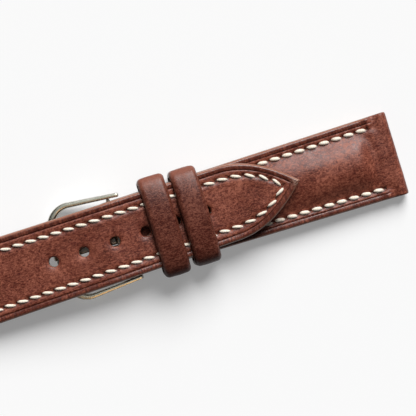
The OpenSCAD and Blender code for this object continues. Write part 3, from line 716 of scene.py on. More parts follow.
def upper_relief(lay, strap, sheet, holes, slits, shift, seed):
    """The upper's forms, and where the pressed border has faded out beyond the seam."""
    r, side = lay.relief, lay.straps[strap]
    top0, u_flat = sheet.u[list(sheet.top)]
    start, total = side.pad
    seam = seam_relief(lay, strap, shift)
    ends = stitch_places(lay, strap)[2]
    last = ends[np.argmax(ends[:, 0])] + [shift, 0]

    def calm(u):
        faded = np.clip((sheet.at(u, 0) - side.seam_end - 0.2) / CALM_FADE, 0, 1)
        return np.where(u < u_flat + CALM_REACH, faded, 0)

    def relief(u, v, d):
        place = sheet.at(u, 0)
        on_top = (u > top0 - 0.5) & (u < u_flat + LUG_SIDE_FADE)
        share = v / np.maximum(sheet.half(place) - r.pad_border, 0.1)
        dome = np.where(on_top, lay.crown(place - start, total, share), 0)
        height = edge_relief(r, d, calm(u)) * np.where(on_top, 1, 0.55) + dome
        pull = bell(np.hypot((u - last[0] - 0.9) / 1.5, np.abs(v) - last[1]), 0.75)
        height -= PULL_DEPTH * np.where(on_top, pull, 0)
        height -= LUG_BOW * v ** 2 * calm(u) * (1 + np.cos(math.pi * np.clip((u - u_flat) / 3, 0, 1))) / 2
        height += np.where(on_top, seam(u, v) - AWL_DEPTH * slits(u, v), 0)
        height += r.waves * waves(u, v, seed) * np.clip(d / 2, 0, 1)
        for ring in holes:
            reach = np.hypot(u - ring["u"], v) - ring["r"]
            lip = np.clip(r.hole_lip - reach, 0, None) / r.hole_lip
            lip = HOLE_FALL * (1 - np.sqrt(np.clip(1 - lip ** 2, 0, 1)))
            height -= lip + HOLE_SAG * bell(np.maximum(reach, 0), HOLE_SAG_WIDE)
        return height
    return relief, calm


def hole_rings(lay, strap, steps, start=0.0):
    """The long strap's holes on a plan that begins at start, with the radii of their points."""
    s = lay.strap
    return [{"u": s.hole_first + i * s.hole_pitch - start, "r": s.hole_d / 2,
             "radii": [s.hole_d / 2 + k for k in steps]}
            for i in range(s.hole_n if strap == "long" else 0)]


def cut_plan(sheet, end, holes, slot=None):
    """A function for which places of a plan are leather: within its outline and clear of its cuts."""
    def inside(u, v):
        good = (np.abs(v) < sheet.width(u)) & (u > 0) & (u < end)
        for ring in holes:
            good &= np.hypot(u - ring["u"], v) > ring["r"] * 0.995
        if slot:
            good &= ~((u > slot[0]) & (u < slot[1]) & (np.abs(v) < slot[2]))
        return good
    return inside


def plan_outline(lay, sheet, start, end, step):
    """The +v half of a plan's outline, with the long strap's point."""
    tipped = sheet.strap == "long"
    u = np.arange(lay.strap.tip_len + 0.3 - start if tipped else 0, end, step)
    line = np.stack([u, sheet.width(u)], axis=1)
    last = [[end, float(sheet.width(np.array([end]))[0])]]
    tip = [lay.tip_curve(0, 0, 80) - [start, 0]] if tipped else []
    return np.concatenate(tip + [line, last])


def coarse_field(sheet, end, inside, spacing):
    """The sparse points of a layer's hidden inner face."""
    points = hex_field(1.2, end - 1, lambda u: sheet.width(u) - 1.2, spacing)
    return points[inside(points[:, 0], points[:, 1])]


def upper_leather(lay, strap, seed):
    """Points, faces and marks of a strap's upper leather, turned round at its ends."""
    sheet = Sheet(lay, strap, *upper_section(lay, strap))
    end, top = sheet.u[-1], sheet.u[list(sheet.top)]
    shift = top[0] - sheet.rows[sheet.top[0], 0]
    holes, slot, extra = hole_rings(lay, strap, HOLE_ROWS), None, []
    if strap == "short":
        reach = lay.half_t + SLOT_REACH
        first = float(np.interp(-reach, -sheet.rows[:3, 0], sheet.u[:3]))
        last = float(np.interp(reach, sheet.rows[26:30, 0], sheet.u[26:30]))
        slot = (first, last, lay.buckle.tongue_w / 2 + 0.25)
    inside, slits = cut_plan(sheet, end, holes, slot), awl_marks(lay, strap, shift)
    relief, calm = upper_relief(lay, strap, sheet, holes, slits, shift, seed)
    seam = smooth_line(seam_line(lay, strap) + [shift, 0], 0.3)
    way = np.gradient(seam, axis=0)
    way /= np.linalg.norm(way, axis=1, keepdims=True)
    aside = np.stack([-way[:, 1], way[:, 0]], axis=1)
    for off in SEAM_ROWS:
        row = seam + aside * off
        row = row[row[:, 1] > 0.1]
        extra += [row, row * [1, -1]]
    if slot:
        a, b, w = slot
        extra.append(smooth_line([[a, -w], [b, -w], [b, w], [a, w], [a, -w]], 0.35))
    return build_sheet(
        sheet, plan_outline(lay, sheet, 0, end, 0.5), EDGE_ROWS, holes, relief, inside,
        hex_field(0.4, end - 0.3, sheet.width, 0.62), coarse_field(sheet, end, inside, 1.6),
        extra_lines=extra, awl=lambda u, v: np.where((u > top[0]) & (u < top[1]), slits(u, v), 0), calm=calm)


def flat_layer(lay, strap, span, heights, seed, lining):
    """A lining, which looks down and is pressed in along the seams, or a plain stiffener."""
    (first, last), (low, high) = span, heights
    steps, end = np.arange(first, last, 1.0).tolist() + [last], last - first
    faces = (low, high) if lining else (high, low)
    sheet = Sheet(lay, strap, [(p, faces[0], p, faces[1]) for p in steps])
    sheet.u = np.array(steps) - first
    holes = hole_rings(lay, strap, (0, 0.25), first)
    inside = cut_plan(sheet, end, holes)
    inset = lay.straps[strap].inset
    channel = [inset + k * 0.22 for k in range(-4, 5)]

    def relief(u, v, d):
        if not lining:
            return np.zeros(len(u))
        drop = np.clip(LINING_ROUND - d, 0, None)
        fall = LINING_ROUND - np.sqrt(np.maximum(LINING_ROUND ** 2 - drop ** 2, 0))
        grain = LINING_GRAIN * waves(u, v, seed) * np.clip(d / 2, 0, 1)
        return grain - fall - LINING_PRESS * bell(d - inset, 0.5)
    rows = (*LINING_EDGE_ROWS, *channel) if lining else (0.4,)
    return build_sheet(
        sheet, plan_outline(lay, sheet, first, end, 1.0), rows,
        holes, relief, inside, hex_field(0.5, end - 0.4, sheet.width, 1.1),
        coarse_field(sheet, end, inside, 2.2), spacing=0.6 if lining else 1.0)


def add(tree, kind, inputs=None, **settings):
    """Adds a node with its settings, and gives its inputs values or other nodes' outputs."""
    node = tree.nodes.new(kind)
    for name, value in settings.items():
        setattr(node, name, value)
    for key, value in (inputs or {}).items():
        if isinstance(value, bpy.types.Node):
            value = value.outputs[0]
        if isinstance(value, bpy.types.NodeSocket):
            tree.links.new(value, node.inputs[key])
        else:
            node.inputs[key].default_value = value
    return node


def new_tree(name, floats):
    """A Geometry Nodes tree with named number inputs, a material input and a geometry output."""
    tree = bpy.data.node_groups.new(name, "GeometryNodeTree")
    tree.interface.new_socket("Geometry", in_out="INPUT", socket_type="NodeSocketGeometry")
    for label in floats:
        tree.interface.new_socket(label, in_out="INPUT", socket_type="NodeSocketFloat")
    tree.interface.new_socket("Finish", in_out="INPUT", socket_type="NodeSocketMaterial")
    tree.interface.new_socket("Geometry", in_out="OUTPUT", socket_type="NodeSocketGeometry")
    return tree, add(tree, "NodeGroupInput").outputs


def run_tree(piece, tree, values):
    """Puts a tree on a piece with its inputs set by identifier, and returns the result as a mesh."""
    bpy.context.scene.collection.objects.link(piece)
    modifier = piece.modifiers.new("shape", "NODES")
    modifier.node_group = tree
    for item in tree.interface.items_tree:
        if item.in_out == "INPUT" and item.name in values:
            modifier[item.identifier] = values[item.name]
    bpy.context.view_layer.update()
    result = bpy.data.meshes.new_from_object(piece.evaluated_get(bpy.context.evaluated_depsgraph_get()))
    piece.modifiers.remove(modifier)
    old, piece.data = piece.data, result
    result.name = piece.name
    bpy.data.meshes.remove(old)
    return piece


STITCH_ARCH = 0.42      # how much lower a stitch's ends lie than its middle, in mm
STITCH_TAPER = 0.42     # thickness of its ends, as a share of the middle's
STITCH_FLAT = 0.86      # height of its section, as a share of the width
STITCH_SHAKE = 2.5      # uneven turn from stitch to stitch, in degrees
TOP_PROUD = 0.06        # height of a seam's middle over the upper leather
UNDER_SUNK = 0.4        # depth of its middle in the lining


def stitch_tree():
    """One plump, arched stitch of twisted linen at every point, its ends pulled into the leather."""
    tree, given = new_tree("saddle_stitches",
                           ("Length", "Thread", "Slant", "Arch", "Flatness", "Unevenness"))
    line = add(tree, "GeometryNodeMeshLine", {"Count": 8, "Offset": (1 / 7, 0, 0)})
    curve = add(tree, "GeometryNodeMeshToCurve", {"Mesh": line})
    along = add(tree, "GeometryNodeSplineParameter").outputs["Factor"]
    centred = add(tree, "ShaderNodeMath", {0: along, 1: 0.5}, operation="SUBTRACT")
    even = centred
    for operation, value in (("MULTIPLY", 2.0), ("ABSOLUTE", 0.0), ("POWER", 3.0)):
        even = add(tree, "ShaderNodeMath", {0: even, 1: value}, operation=operation)
    dip = add(tree, "ShaderNodeMath", {0: even, 1: given["Arch"]}, operation="MULTIPLY")
    low = add(tree, "ShaderNodeMath", {0: dip, 1: -1.0}, operation="MULTIPLY")
    place_x = add(tree, "ShaderNodeMath", {0: centred, 1: given["Length"]}, operation="MULTIPLY")
    place = add(tree, "ShaderNodeCombineXYZ", {"X": place_x, "Z": low})
    arched = add(tree, "GeometryNodeSetPosition", {"Geometry": curve, "Position": place})
    plump = add(tree, "ShaderNodeMapRange", {
        "Value": even, "From Min": 0.0, "From Max": 1.0, "To Min": 1.0, "To Max": STITCH_TAPER})
    radius = add(tree, "ShaderNodeMath", {0: plump, 1: 0.5}, operation="MULTIPLY")
    thick = add(tree, "ShaderNodeMath", {0: radius, 1: given["Thread"]}, operation="MULTIPLY")
    ring = add(tree, "GeometryNodeCurvePrimitiveCircle", {"Resolution": 8, "Radius": 1.0}, mode="RADIUS")
    marked, ring = [
        add(tree, "GeometryNodeStoreNamedAttribute", {"Geometry": line, "Name": name, "Value": along},
            data_type="FLOAT", domain="POINT")
        for line, name in ((arched, "lay_along"), (ring, "lay_round"))]
    body = add(tree, "GeometryNodeCurveToMesh", {
        "Curve": marked, "Profile Curve": ring, "Scale": thick, "Fill Caps": True})
    flat = add(tree, "ShaderNodeCombineXYZ", {"X": 1.0, "Y": 1.0, "Z": given["Flatness"]})
    body = add(tree, "GeometryNodeTransform", {"Geometry": body, "Scale": flat})
    way, up = [add(tree, "GeometryNodeInputNamedAttribute", {"Name": name}, data_type="FLOAT_VECTOR")
               for name in ("way", "up")]
    upright = add(tree, "FunctionNodeAlignEulerToVector", {"Vector": up}, axis="Z")
    aimed = add(tree, "FunctionNodeAlignEulerToVector", {"Rotation": upright, "Vector": way},
                axis="X", pivot_axis="Z")
    shake = add(tree, "FunctionNodeRandomValue", {"Seed": 11, 2: -1.0, 3: 1.0}, data_type="FLOAT")
    turned = add(tree, "ShaderNodeMath", {0: shake.outputs[1], 1: given["Unevenness"], 2: given["Slant"]},
                 operation="MULTIPLY_ADD")
    spin = add(tree, "ShaderNodeCombineXYZ", {"Z": turned})
    facing = add(tree, "FunctionNodeRotateEuler", {"Rotation": aimed, "Rotate By": spin}, space="LOCAL")
    points = add(tree, "GeometryNodeInstanceOnPoints", {
        "Points": given["Geometry"], "Instance": body, "Rotation": facing})
    real = add(tree, "GeometryNodeRealizeInstances", {"Geometry": points})
    smooth = add(tree, "GeometryNodeSetShadeSmooth", {"Geometry": real})
    done = add(tree, "GeometryNodeSetMaterial", {"Geometry": smooth, "Material": given["Finish"]})
    add(tree, "NodeGroupOutput", {0: done})
    return tree


def stitch_piece(lay, name, sewn, body, replaced, tree, slant, sizes=None):
    """Stitches at the given places in mm, each along its way and raised along its up."""
    places, ways, ups = sewn
    mesh = bpy.data.meshes.new(name)
    mesh.from_pydata((np.asarray(places) * MM).tolist(), [], [])
    for label, vectors in (("way", ways), ("up", ups)):
        mesh.attributes.new(label, "FLOAT_VECTOR", "POINT").data.foreach_set(
            "vector", np.asarray(vectors, np.float32).ravel())
    st, thread = lay.stitch, finish("linen_thread_waxed")
    piece = run_tree(bpy.data.objects.new(name, mesh), tree, {
        "Length": (st.pitch - st.gap) * MM, "Thread": st.thread_d * MM, "Slant": slant,
        "Arch": STITCH_ARCH * MM, "Flatness": STITCH_FLAT, "Unevenness": math.radians(STITCH_SHAKE),
        "Finish": thread, **(sizes or {})})
    for label in ("way", "up"):
        old = piece.data.attributes.get(label)
        if old:
            piece.data.attributes.remove(old)
    return place_piece(piece, body, "thread", thread, replaced, sharp=0)


def seam_points(lay, strap, side, top):
    """Places, ways and ups of a seam's stitches on one side and one face of a strap."""
    mids, way, _ = stitch_places(lay, strap)
    faces = lay.straps[strap]
    y, wy = side * mids[:, 1], side * way[:, 1]
    n = np.full(len(mids), faces.top + TOP_PROUD if top else faces.under + UNDER_SUNK)
    at = faces.put(mids[:, 0], y, n)
    ahead = faces.put(mids[:, 0] + way[:, 0] * 0.3, y + wy * 0.3, n)
    over = faces.put(mids[:, 0], y, n + 0.5)
    direction = ahead - at
    direction /= np.linalg.norm(direction, axis=1, keepdims=True)
    direction *= np.sign(direction[:, :1])
    up = (over - at) * (2 if top else -2)
    return at, direction, up


def sewn_rows(lay, strap, sides):
    """A strap's stitches on the given sides, on its top and then underneath."""
    rows = [seam_points(lay, strap, side, top) for side in sides for top in (True, False)]
    return [np.concatenate(column) for column in zip(*rows)]


def swept(rings, close_ends=True, closed_way=False):
    """Points and faces of a solid through a row of rings with as many points each."""
    rings = np.asarray(rings)
    m, q = rings.shape[0], rings.shape[1]
    faces = []
    for i in range(m if closed_way else m - 1):
        k = (i + 1) % m
        for j in range(q):
            faces.append((i * q + j, i * q + (j + 1) % q, k * q + (j + 1) % q, k * q + j))
    points = rings.reshape(-1, 3)
    if close_ends and not closed_way:
        points = np.concatenate([points, [rings[0].mean(axis=0), rings[-1].mean(axis=0)]])
        for j in range(q):
            faces.append((m * q, (j + 1) % q, j))
            faces.append((m * q + 1, (m - 1) * q + j, (m - 1) * q + (j + 1) % q))
    return points, faces


def loop_path(w, z0, z1, radius):
    """A closed rounded rectangle across the strap, as (y, z, outward y, outward z)."""
    rows = []
    corners = [(w / 2 - radius, z1 - radius, 0), (radius - w / 2, z1 - radius, 90),
               (radius - w / 2, z0 + radius, 180), (w / 2 - radius, z0 + radius, 270)]
    for i, (cy, cz, start) in enumerate(corners):
        for a in np.radians(np.linspace(start, start + 90, 10)):
            rows.append((cy + radius * math.cos(a), cz + radius * math.sin(a), math.cos(a), math.sin(a)))
        ny, nz, _ = corners[(i + 1) % 4]
        a = math.radians(start + 90)
        here = np.array([cy + radius * math.cos(a), cz + radius * math.sin(a)])
        there = np.array([ny + radius * math.cos(a), nz + radius * math.sin(a)])
        count = max(2, int(np.linalg.norm(there - here) / 0.4))
        for t in np.linspace(0, 1, count + 1)[1:-1]:
            spot = here + (there - here) * t
            rows.append((spot[0], spot[1], math.cos(a), math.sin(a)))
    return np.array(rows)


KEEPER_EDGE = 0.15      # bevel inside a keeper's rims
KEEPER_SWELL = 0.05     # how much its leather swells between the rims
KEEPER_CREASE = 0.035   # height of its slow creases
KEEPER_SKEW = 0.04      # how far its rims wander from a straight line
SAG_POWER, THIN_POWER = 2.6, 1.6    # how late towards its corners the top sags and thins
BEND_PAINTED_SHADE, BEND_PAINTED_HIGHLIGHT = 0.8, -0.7     # painted shade on its side bent away from the light, painted highlight on the side bent towards it
BENT_FROM, BENT_OVER = 0.6, 0.35    # shares of its half width where that painted shade and highlight start and grow


def keeper_points(lay, middle, inner_w, foot, foot_t, seed):
    """A keeper's loop of soft leather: thick rounded rims and slow creases across it."""
    k = lay.keeper
    t, r = k.leather_t, k.rim_round
    path = loop_path(inner_w + 2 * t, foot, lay.keeper_top + t, k.outer_round)
    high = np.clip((path[:, 1] - foot) / (lay.keeper_top + t - foot) * 2 - 1, 0, 1)
    path[:, 1] -= k.sag * high * np.abs(path[:, 0] / path[:, 0].max()) ** SAG_POWER
    way = np.roll(path[:, :2], -1, axis=0) - np.roll(path[:, :2], 1, axis=0)
    way /= np.linalg.norm(way, axis=1, keepdims=True)
    path[:, 2:] = np.stack([way[:, 1], -way[:, 0]], axis=1)
    half = k.length / 2
    rim, edge = np.linspace(0, math.pi / 2, 6), KEEPER_EDGE
    profile = [(-half + r - r * math.cos(a), -r + r * math.sin(a)) for a in rim]
    profile += [(x, 0.0) for x in np.linspace(-half + r, half - r, 13)[1:-1]]
    profile += [(half - r + r * math.sin(a), -r + r * math.cos(a)) for a in rim]
    profile += [(half, -t + edge), (half - edge, -t)]
    profile += [(x, -t) for x in np.linspace(half - edge, edge - half, 5)[1:-1]]
    profile = np.array(profile + [(edge - half, -t), (-half, -t + edge)])
    rings, marks = [], {"edge_mm": [], "along_mm": [], "wall": [], "bent": []}
    wide = np.abs(path[:, 0]).max()
    low = path[:, 1] < foot + foot_t + 0.2
    run = np.concatenate([[0], np.cumsum(np.hypot(*np.diff(path[:, :2], axis=0).T))])
    for i, (y, z, oy, oz) in enumerate(path):
        depth = profile[:, 1].copy()
        if low[i] and oz < -0.5:
            depth = depth * foot_t / t
        elif high[i] > 0:
            depth = np.where(depth < -r, depth + k.thinned * high[i] * (abs(y) / wide) ** THIN_POWER, depth)
        outer = profile[:, 1] > -r - 0.01
        swell = KEEPER_SWELL * (2 * np.cos(profile[:, 0] / half * math.pi / 2) - 1)
        crease = KEEPER_CREASE * waves(np.full(len(profile), run[i] * 0.55), profile[:, 0] * 1.6, seed)
        away = np.where(outer, depth + crease + (swell if oz > 0.3 or abs(oy) > 0.7 else 0), depth)
        x = middle + profile[:, 0] + KEEPER_SKEW * math.sin(run[i] * 0.9 + seed)
        rings.append(lay.on_table(x, y + oy * away, z + oz * away))
        marks["edge_mm"].extend(half - np.abs(profile[:, 0]))
        marks["along_mm"].extend([run[i]] * len(profile))
        # The bent sides are painted: darker where they turn away from the light (-y), lighter where they
        # turn towards it (+y).
        bend = np.clip((abs(y) / wide - BENT_FROM) / BENT_OVER, 0, 1) ** 1.5
        marks["bent"].extend([bend * (BEND_PAINTED_SHADE if y < 0 else BEND_PAINTED_HIGHLIGHT)] * len(profile))
        marks["wall"].extend(np.where(profile[:, 1] < -r - 0.01, 1.0, 0.0))
    points, faces = swept(rings, closed_way=True)
    return points, faces, marks


BOW_ROUND = 5.8         # outer radius of the bow's corners
BAR_SOFT = 0.6          # power that squares the frame's round section
TONGUE_SOFT = 0.45      # the same for the tongue's
ARM_ENDS = (0.78, 0.94, 1.0)    # size of the section at the ends of the arms
ARM_STEPS = (0, 0.12, 0.4)      # where those sections lie, back from the end
SIDE_MORE = 0.4         # how much thicker than an arm the bow's sides are
TONGUE_FROM = -0.4      # where the tongue's shaft leaves its eye
TONGUE_PAST = 0.3       # how far the tongue's point lies past the bow
TONGUE_TAPER = 0.35     # share of its flat end where the taper starts
EYE_IN = 0.3            # from the fold's outer face to the tongue's eye
EYE_BEVEL = 0.12        # bevel of the eye's rims


def rounded(turn, power):
    """Height and width of a squared circle at these angles."""
    return [np.sign(share) * np.abs(share) ** power for share in (np.cos(turn), np.sin(turn))]


def bow_lines(lay):
    """Outer and inner edge of half the buckle's frame, from the arm's end to the bow's middle."""
    b = lay.buckle
    arm_in = lay.strap.buckle_w / 2 + b.arm_gap
    out_r = BOW_ROUND
    in_r = out_r - b.bow_bar + 0.3

    def edge(y0, c, r, reach):
        rows = [(b.arm_reach - back, y0) for back in ARM_STEPS]
        rows += [(b.arm_reach + (c[0] - b.arm_reach) * k, y0 + (c[1] + r - y0) * k)
                 for k in np.linspace(0.06, 0.94, 16)]
        rows += [(c[0] + r * math.cos(a), c[1] + r * math.sin(a))
                 for a in np.radians(np.linspace(90, 180, 22))]
        rows += [(-reach, c[1] * (1 - k)) for k in np.linspace(0.1, 1, 10)]
        return np.array(rows)

    inner_reach = b.bow_reach - b.bow_bar
    outer = edge(arm_in + b.arm_w, (out_r - b.bow_reach, b.bow_w / 2 - out_r), out_r, b.bow_reach)
    inner = edge(arm_in, (in_r - inner_reach, b.bow_w / 2 - b.arm_w - SIDE_MORE - in_r), in_r, inner_reach)
    return outer, inner


def buckle_place(lay):
    """A function from the buckle's own frame to the part's, with the bow swung onto the table."""
    b = lay.buckle
    cx, cz = rounded(np.radians(240), BAR_SOFT)     # the lowest, outermost part of the section
    touch_x = b.bow_reach - b.bow_bar / 2 - cx * b.bow_bar / 2
    touch_z = -cz * b.frame_t / 2
    swing = math.asin(lay.bar_z / math.hypot(touch_x, touch_z)) - math.atan2(touch_z, touch_x) + lay.lean

    def place(points):
        x, y, z = points[:, 0], points[:, 1], points[:, 2]
        c, s = math.cos(-swing), math.sin(-swing)
        return lay.on_table(x * c + z * s, y, -x * s + z * c)
    return place


def frame_points(lay):
    """The buckle's polished frame: a soft-edged bar bent round in a bow."""
    outer, inner = bow_lines(lay)
    place = buckle_place(lay)
    n = 28
    bx, bz = rounded(2 * math.pi * np.arange(n) / n, BAR_SOFT)
    rings = []
    order = [(i, -1) for i in range(len(outer))] + [(i, 1) for i in range(len(outer) - 2, -1, -1)]
    for i, side in order:
        size = ARM_ENDS[min(i, 2)]
        mid, half = (outer[i] + inner[i]) / 2, (outer[i] - inner[i]) / 2
        x, z = bx * size, bz * size
        rings.append(place(np.stack([mid[0] + x * half[0], side * (mid[1] + x * half[1]),
                                     z * lay.buckle.frame_t / 2], axis=1)))
    return swept(rings)


def tongue_points(lay):
    """The tongue: an eye round the bar that runs out to a tapered point on the bow."""
    b = lay.buckle
    place = buckle_place(lay)
    low = b.frame_t / 2 + 0.02
    high = low + b.tongue_t
    tip = -b.bow_reach - TONGUE_PAST
    rest = 0.3 - (b.bow_reach - b.bow_bar)
    eye, bore = lay.half_t - EYE_IN, b.bar_r + RUN
    plan = []
    for t in np.linspace(0.04, 1, 16):
        x = TONGUE_FROM + (rest - TONGUE_FROM) * t
        plan.append((x, -b.tongue_t / 2 + (low + b.tongue_t / 2) * t, eye - 0.05 + (high - eye + 0.05) * t,
                     1 - 0.1 * t))
    for t in np.linspace(0.1, 1, 12):
        x = rest + (tip - rest) * t
        taper = math.sqrt(max(0.0, 1 - max(0.0, (t - TONGUE_TAPER) / (1 - TONGUE_TAPER)) ** 2.4))
        plan.append((x, low, low + b.tongue_t * (0.25 + 0.75 * taper), 0.9 * (0.5 + 0.5 * taper)))
    rings = []
    by, bz = rounded(2 * math.pi * (np.arange(24) + 0.5) / 24, TONGUE_SOFT)
    for x, z0, z1, share in plan:
        w, h = b.tongue_w / 2 * share, (z1 - z0) / 2
        rings.append(place(np.stack([np.full(24, x), by * w, (z0 + z1) / 2 + bz * h], axis=1)))
    shaft, shaft_faces = swept(rings)
    eye_rings = []
    for a in np.linspace(0, 2 * math.pi, 49)[:-1]:
        ring = []
        for y, r in ((-1.0, bore), (-1.0, eye - EYE_BEVEL), (EYE_BEVEL - 1, eye),
                     (1 - EYE_BEVEL, eye), (1.0, eye - EYE_BEVEL), (1.0, bore)):
            ring.append((r * math.cos(a), y * b.tongue_w / 2, r * math.sin(a)))
        eye_rings.append(place(np.array(ring)))
    round_eye, eye_faces = swept(eye_rings, closed_way=True)
    faces = [tuple(f) for f in shaft_faces] + [tuple(i + len(shaft) for i in f) for f in eye_faces]
    return np.concatenate([shaft, round_eye]), faces


class FinishColours(bpy.types.PropertyGroup):
    """Colours of the leather, thread, steel and table."""
    calf: colour("#582014", "Calf", "Middle tone of the waxed calf")
    calf_light: colour("#a9644d", "Calf light", "Where the wax has pulled up")
    calf_dark: colour("#3f160e", "Calf dark", "Where the wax lies deep")
    border: colour("#451d16", "Border", "Burnished border outside the crease")
    edge: colour("#3d2018", "Edge", "Burnished cut edge")
    # The worn edge colour is also a painted highlight along the rounded edge of the border.
    edge_worn_and_highlight: colour("#9c6750", "Worn edge", "Where the edge is rubbed back")
    keeper: colour("#461910", "Keeper", "Middle tone of the keepers")
    slit: colour("#311d16", "Slit", "Shaded slits that the awl left between stitches")
    bare: colour("#bca290", "Bare", "Fibres laid bare at the point's tip")
    lining: colour("#9c6b4a", "Lining", "Lining leather")
    felt: colour("#b59a78", "Felt", "Felt of the padding")
    thread: colour("#f3e9d9", "Thread", "Waxed linen thread")
    steel: colour("#c9c7bd", "Steel", "Polished steel")
    table: colour("#f9f9f9", "Table", "Floor and backdrop")


def per_mm(size):
    """A texture scale at which one cell of the pattern is this many mm."""
    return 1 / (size * MM)


def new_material(name):
    """A material with only its surface shader, and that shader."""
    material = bpy.data.materials.new(name)
    material.use_nodes = True
    return material, material.node_tree, material.node_tree.nodes["Principled BSDF"]


def ramp(tree, value, stops):
    """A colour ramp over a value."""
    node = add(tree, "ShaderNodeValToRGB", {0: value})
    line = node.color_ramp
    line.elements[0].position, line.elements[0].color = stops[0]
    line.elements[1].position, line.elements[1].color = stops[-1]
    for place, tint in stops[1:-1]:
        line.elements.new(place).color = tint
    return node


def calf(name, tones, border, gloss, grain_mm=0.42, banded=1.0, shine=0.5):
    """Vegetable-tanned calf, hand waxed and plated: faint clouds of pulled-up wax, crossing pale
    fibres and a fine pore grain, with the border and the cut edge burnished dark. It also paints a
    highlight on the rounded edge, shade in the crease and light and shade on the keepers' bends."""
    material, tree, shader = new_material(name)
    colours = bpy.context.scene.finish_colours
    edge, worn = tuple(colours.edge), tuple(colours.edge_worn_and_highlight)
    place = add(tree, "ShaderNodeTexCoord").outputs["Object"]
    clouds = add(tree, "ShaderNodeTexNoise", {
        "Vector": place, "Scale": per_mm(6.5), "Detail": 3.0, "Roughness": 0.5})
    mottle = add(tree, "ShaderNodeTexNoise", {
        "Vector": place, "Scale": per_mm(0.6), "Detail": 4.0, "Roughness": 0.65, "Distortion": 0.6})
    hairs = 0.0     # fibres, drawn coarser than real ones so that they show in the whole picture
    for turn in (0.55, -0.75):
        drawn = add(tree, "ShaderNodeMapping", {
            "Vector": place, "Rotation": (0.0, 0.0, turn), "Scale": (0.28, 1.0, 1.0)})
        strand = add(tree, "ShaderNodeTexNoise", {
            "Vector": drawn, "Scale": per_mm(0.45), "Detail": 2.0, "Roughness": 0.6, "Distortion": 0.45})
        off = add(tree, "ShaderNodeMath", {0: strand, 1: 0.5}, operation="SUBTRACT")
        off = add(tree, "ShaderNodeMath", {0: off}, operation="ABSOLUTE")
        line = add(tree, "ShaderNodeMapRange", {
            "Value": off, "From Min": 0.03, "From Max": 0.0, "To Min": 0.0, "To Max": 0.8})
        hairs = add(tree, "ShaderNodeMath", {0: hairs, 1: line}, operation="MAXIMUM")
    tone = add(tree, "ShaderNodeMath", {0: mottle, 1: 0.65}, operation="MULTIPLY")
    tone = add(tree, "ShaderNodeMath", {0: clouds, 1: 0.35, 2: tone}, operation="MULTIPLY_ADD")
    pores = add(tree, "ShaderNodeTexVoronoi", {
        "Vector": place, "Scale": per_mm(grain_mm), "Randomness": 0.95}, feature="F1")
    fine = add(tree, "ShaderNodeTexNoise", {"Vector": place, "Scale": per_mm(0.16), "Detail": 2.0})

    # Marks stored on the points: distances in mm from the cut edge and along the strap, and
    # where the leather is a cut wall, pierced by the awl or worn, and "bent", which is painted shade
    # where a keeper bends away from the light and, below zero, painted highlight where it bends towards it.
    inset, along, wall, awl, bent, rubbed = [
        add(tree, "ShaderNodeAttribute", attribute_name=mark).outputs["Fac"]
        for mark in ("edge_mm", "along_mm", "wall", "awl", "bent", "worn")]
    drawn_out = add(tree, "ShaderNodeMath", {0: inset, 1: 0.12}, operation="MULTIPLY")
    lines = add(tree, "ShaderNodeCombineXYZ", {"X": along, "Y": drawn_out})
    streaks = add(tree, "ShaderNodeTexNoise", {
        "Vector": lines, "Scale": 2.4, "Detail": 2.0, "Roughness": 0.6})
    crease = add(tree, "ShaderNodeMath", {0: inset, 1: 1.38}, operation="SUBTRACT")
    crease = add(tree, "ShaderNodeMath", {0: crease}, operation="ABSOLUTE")
    band, streaked, rim, crease, slit = [
        add(tree, "ShaderNodeMapRange", {
            "Value": value, "From Min": none_at, "From Max": full_at, "To Min": least, "To Max": most})
        for value, none_at, full_at, least, most in (
            (inset, 1.62, 1.25, 0.0, banded),
            (streaks, 0.36, 0.6, 1.0, 0.2),
            # rim: rubbed wear and a painted highlight on the edge's rounding
            (inset, 0.5, 0.1, 0.0, 0.8 * banded),
            # crease: painted shade in the creased line
            (crease, 0.16, 0.04, 0.0, 0.6 * banded),
            (awl, 0.15, 0.7, 0.0, 0.75))]
    burnish, painted_bend_highlight, bare = [
        add(tree, "ShaderNodeMath", {0: one, 1: other}, operation="MULTIPLY")
        for one, other in ((band, streaked), (bent, -1.0), (rubbed, hairs))]
    skin = ramp(tree, tone, [(0.34, tones[0]), (0.5, tones[1]), (0.7, tones[2])])
    cut = ramp(tree, streaks, [(0.4, edge), (0.72, worn)])
    # Painted light among these mixes: the worn edge colour near the cut edge is also a painted highlight on
    # the rounding, the edge colour in the crease is painted shade, and the dark and light tones on the
    # keepers' bends are painted shade and painted highlight.
    for share, tint in ((hairs, tones[2]), (burnish, border), (rim, worn), (crease, edge),
                        (slit, tuple(colours.slit)), (bent, tones[0]), (painted_bend_highlight, tones[2]),
                        (bare, tuple(colours.bare)), (wall, cut)):
        skin = add(tree, "ShaderNodeMix", {0: share, 6: skin, 7: tint}, data_type="RGBA").outputs[2]
    tree.links.new(skin, shader.inputs["Base Color"])
    height, ridges = mottle, add(tree, "ShaderNodeMath", {0: streaks, 1: band}, operation="MULTIPLY")
    for layer, share in ((pores, 0.25), (hairs, 0.25), (fine, 0.25), (ridges, 1.2)):
        height = add(tree, "ShaderNodeMath", {0: layer, 1: share, 2: height}, operation="MULTIPLY_ADD")
    rough = add(tree, "ShaderNodeMapRange", {
        "Value": tone, "From Min": 0.35, "From Max": 0.65, "To Min": gloss - 0.07, "To Max": gloss + 0.09})
    rough = add(tree, "ShaderNodeMath", {0: band, 1: -0.12, 2: rough}, operation="MULTIPLY_ADD")
    tree.links.new(rough.outputs[0], shader.inputs["Roughness"])
    bump = add(tree, "ShaderNodeBump", {"Strength": 0.42, "Distance": 0.06 * MM, "Height": height})
    tree.links.new(bump.outputs[0], shader.inputs["Normal"])
    shader.inputs["IOR"].default_value = 1.45
    shader.inputs["Specular IOR Level"].default_value = shine
    return material


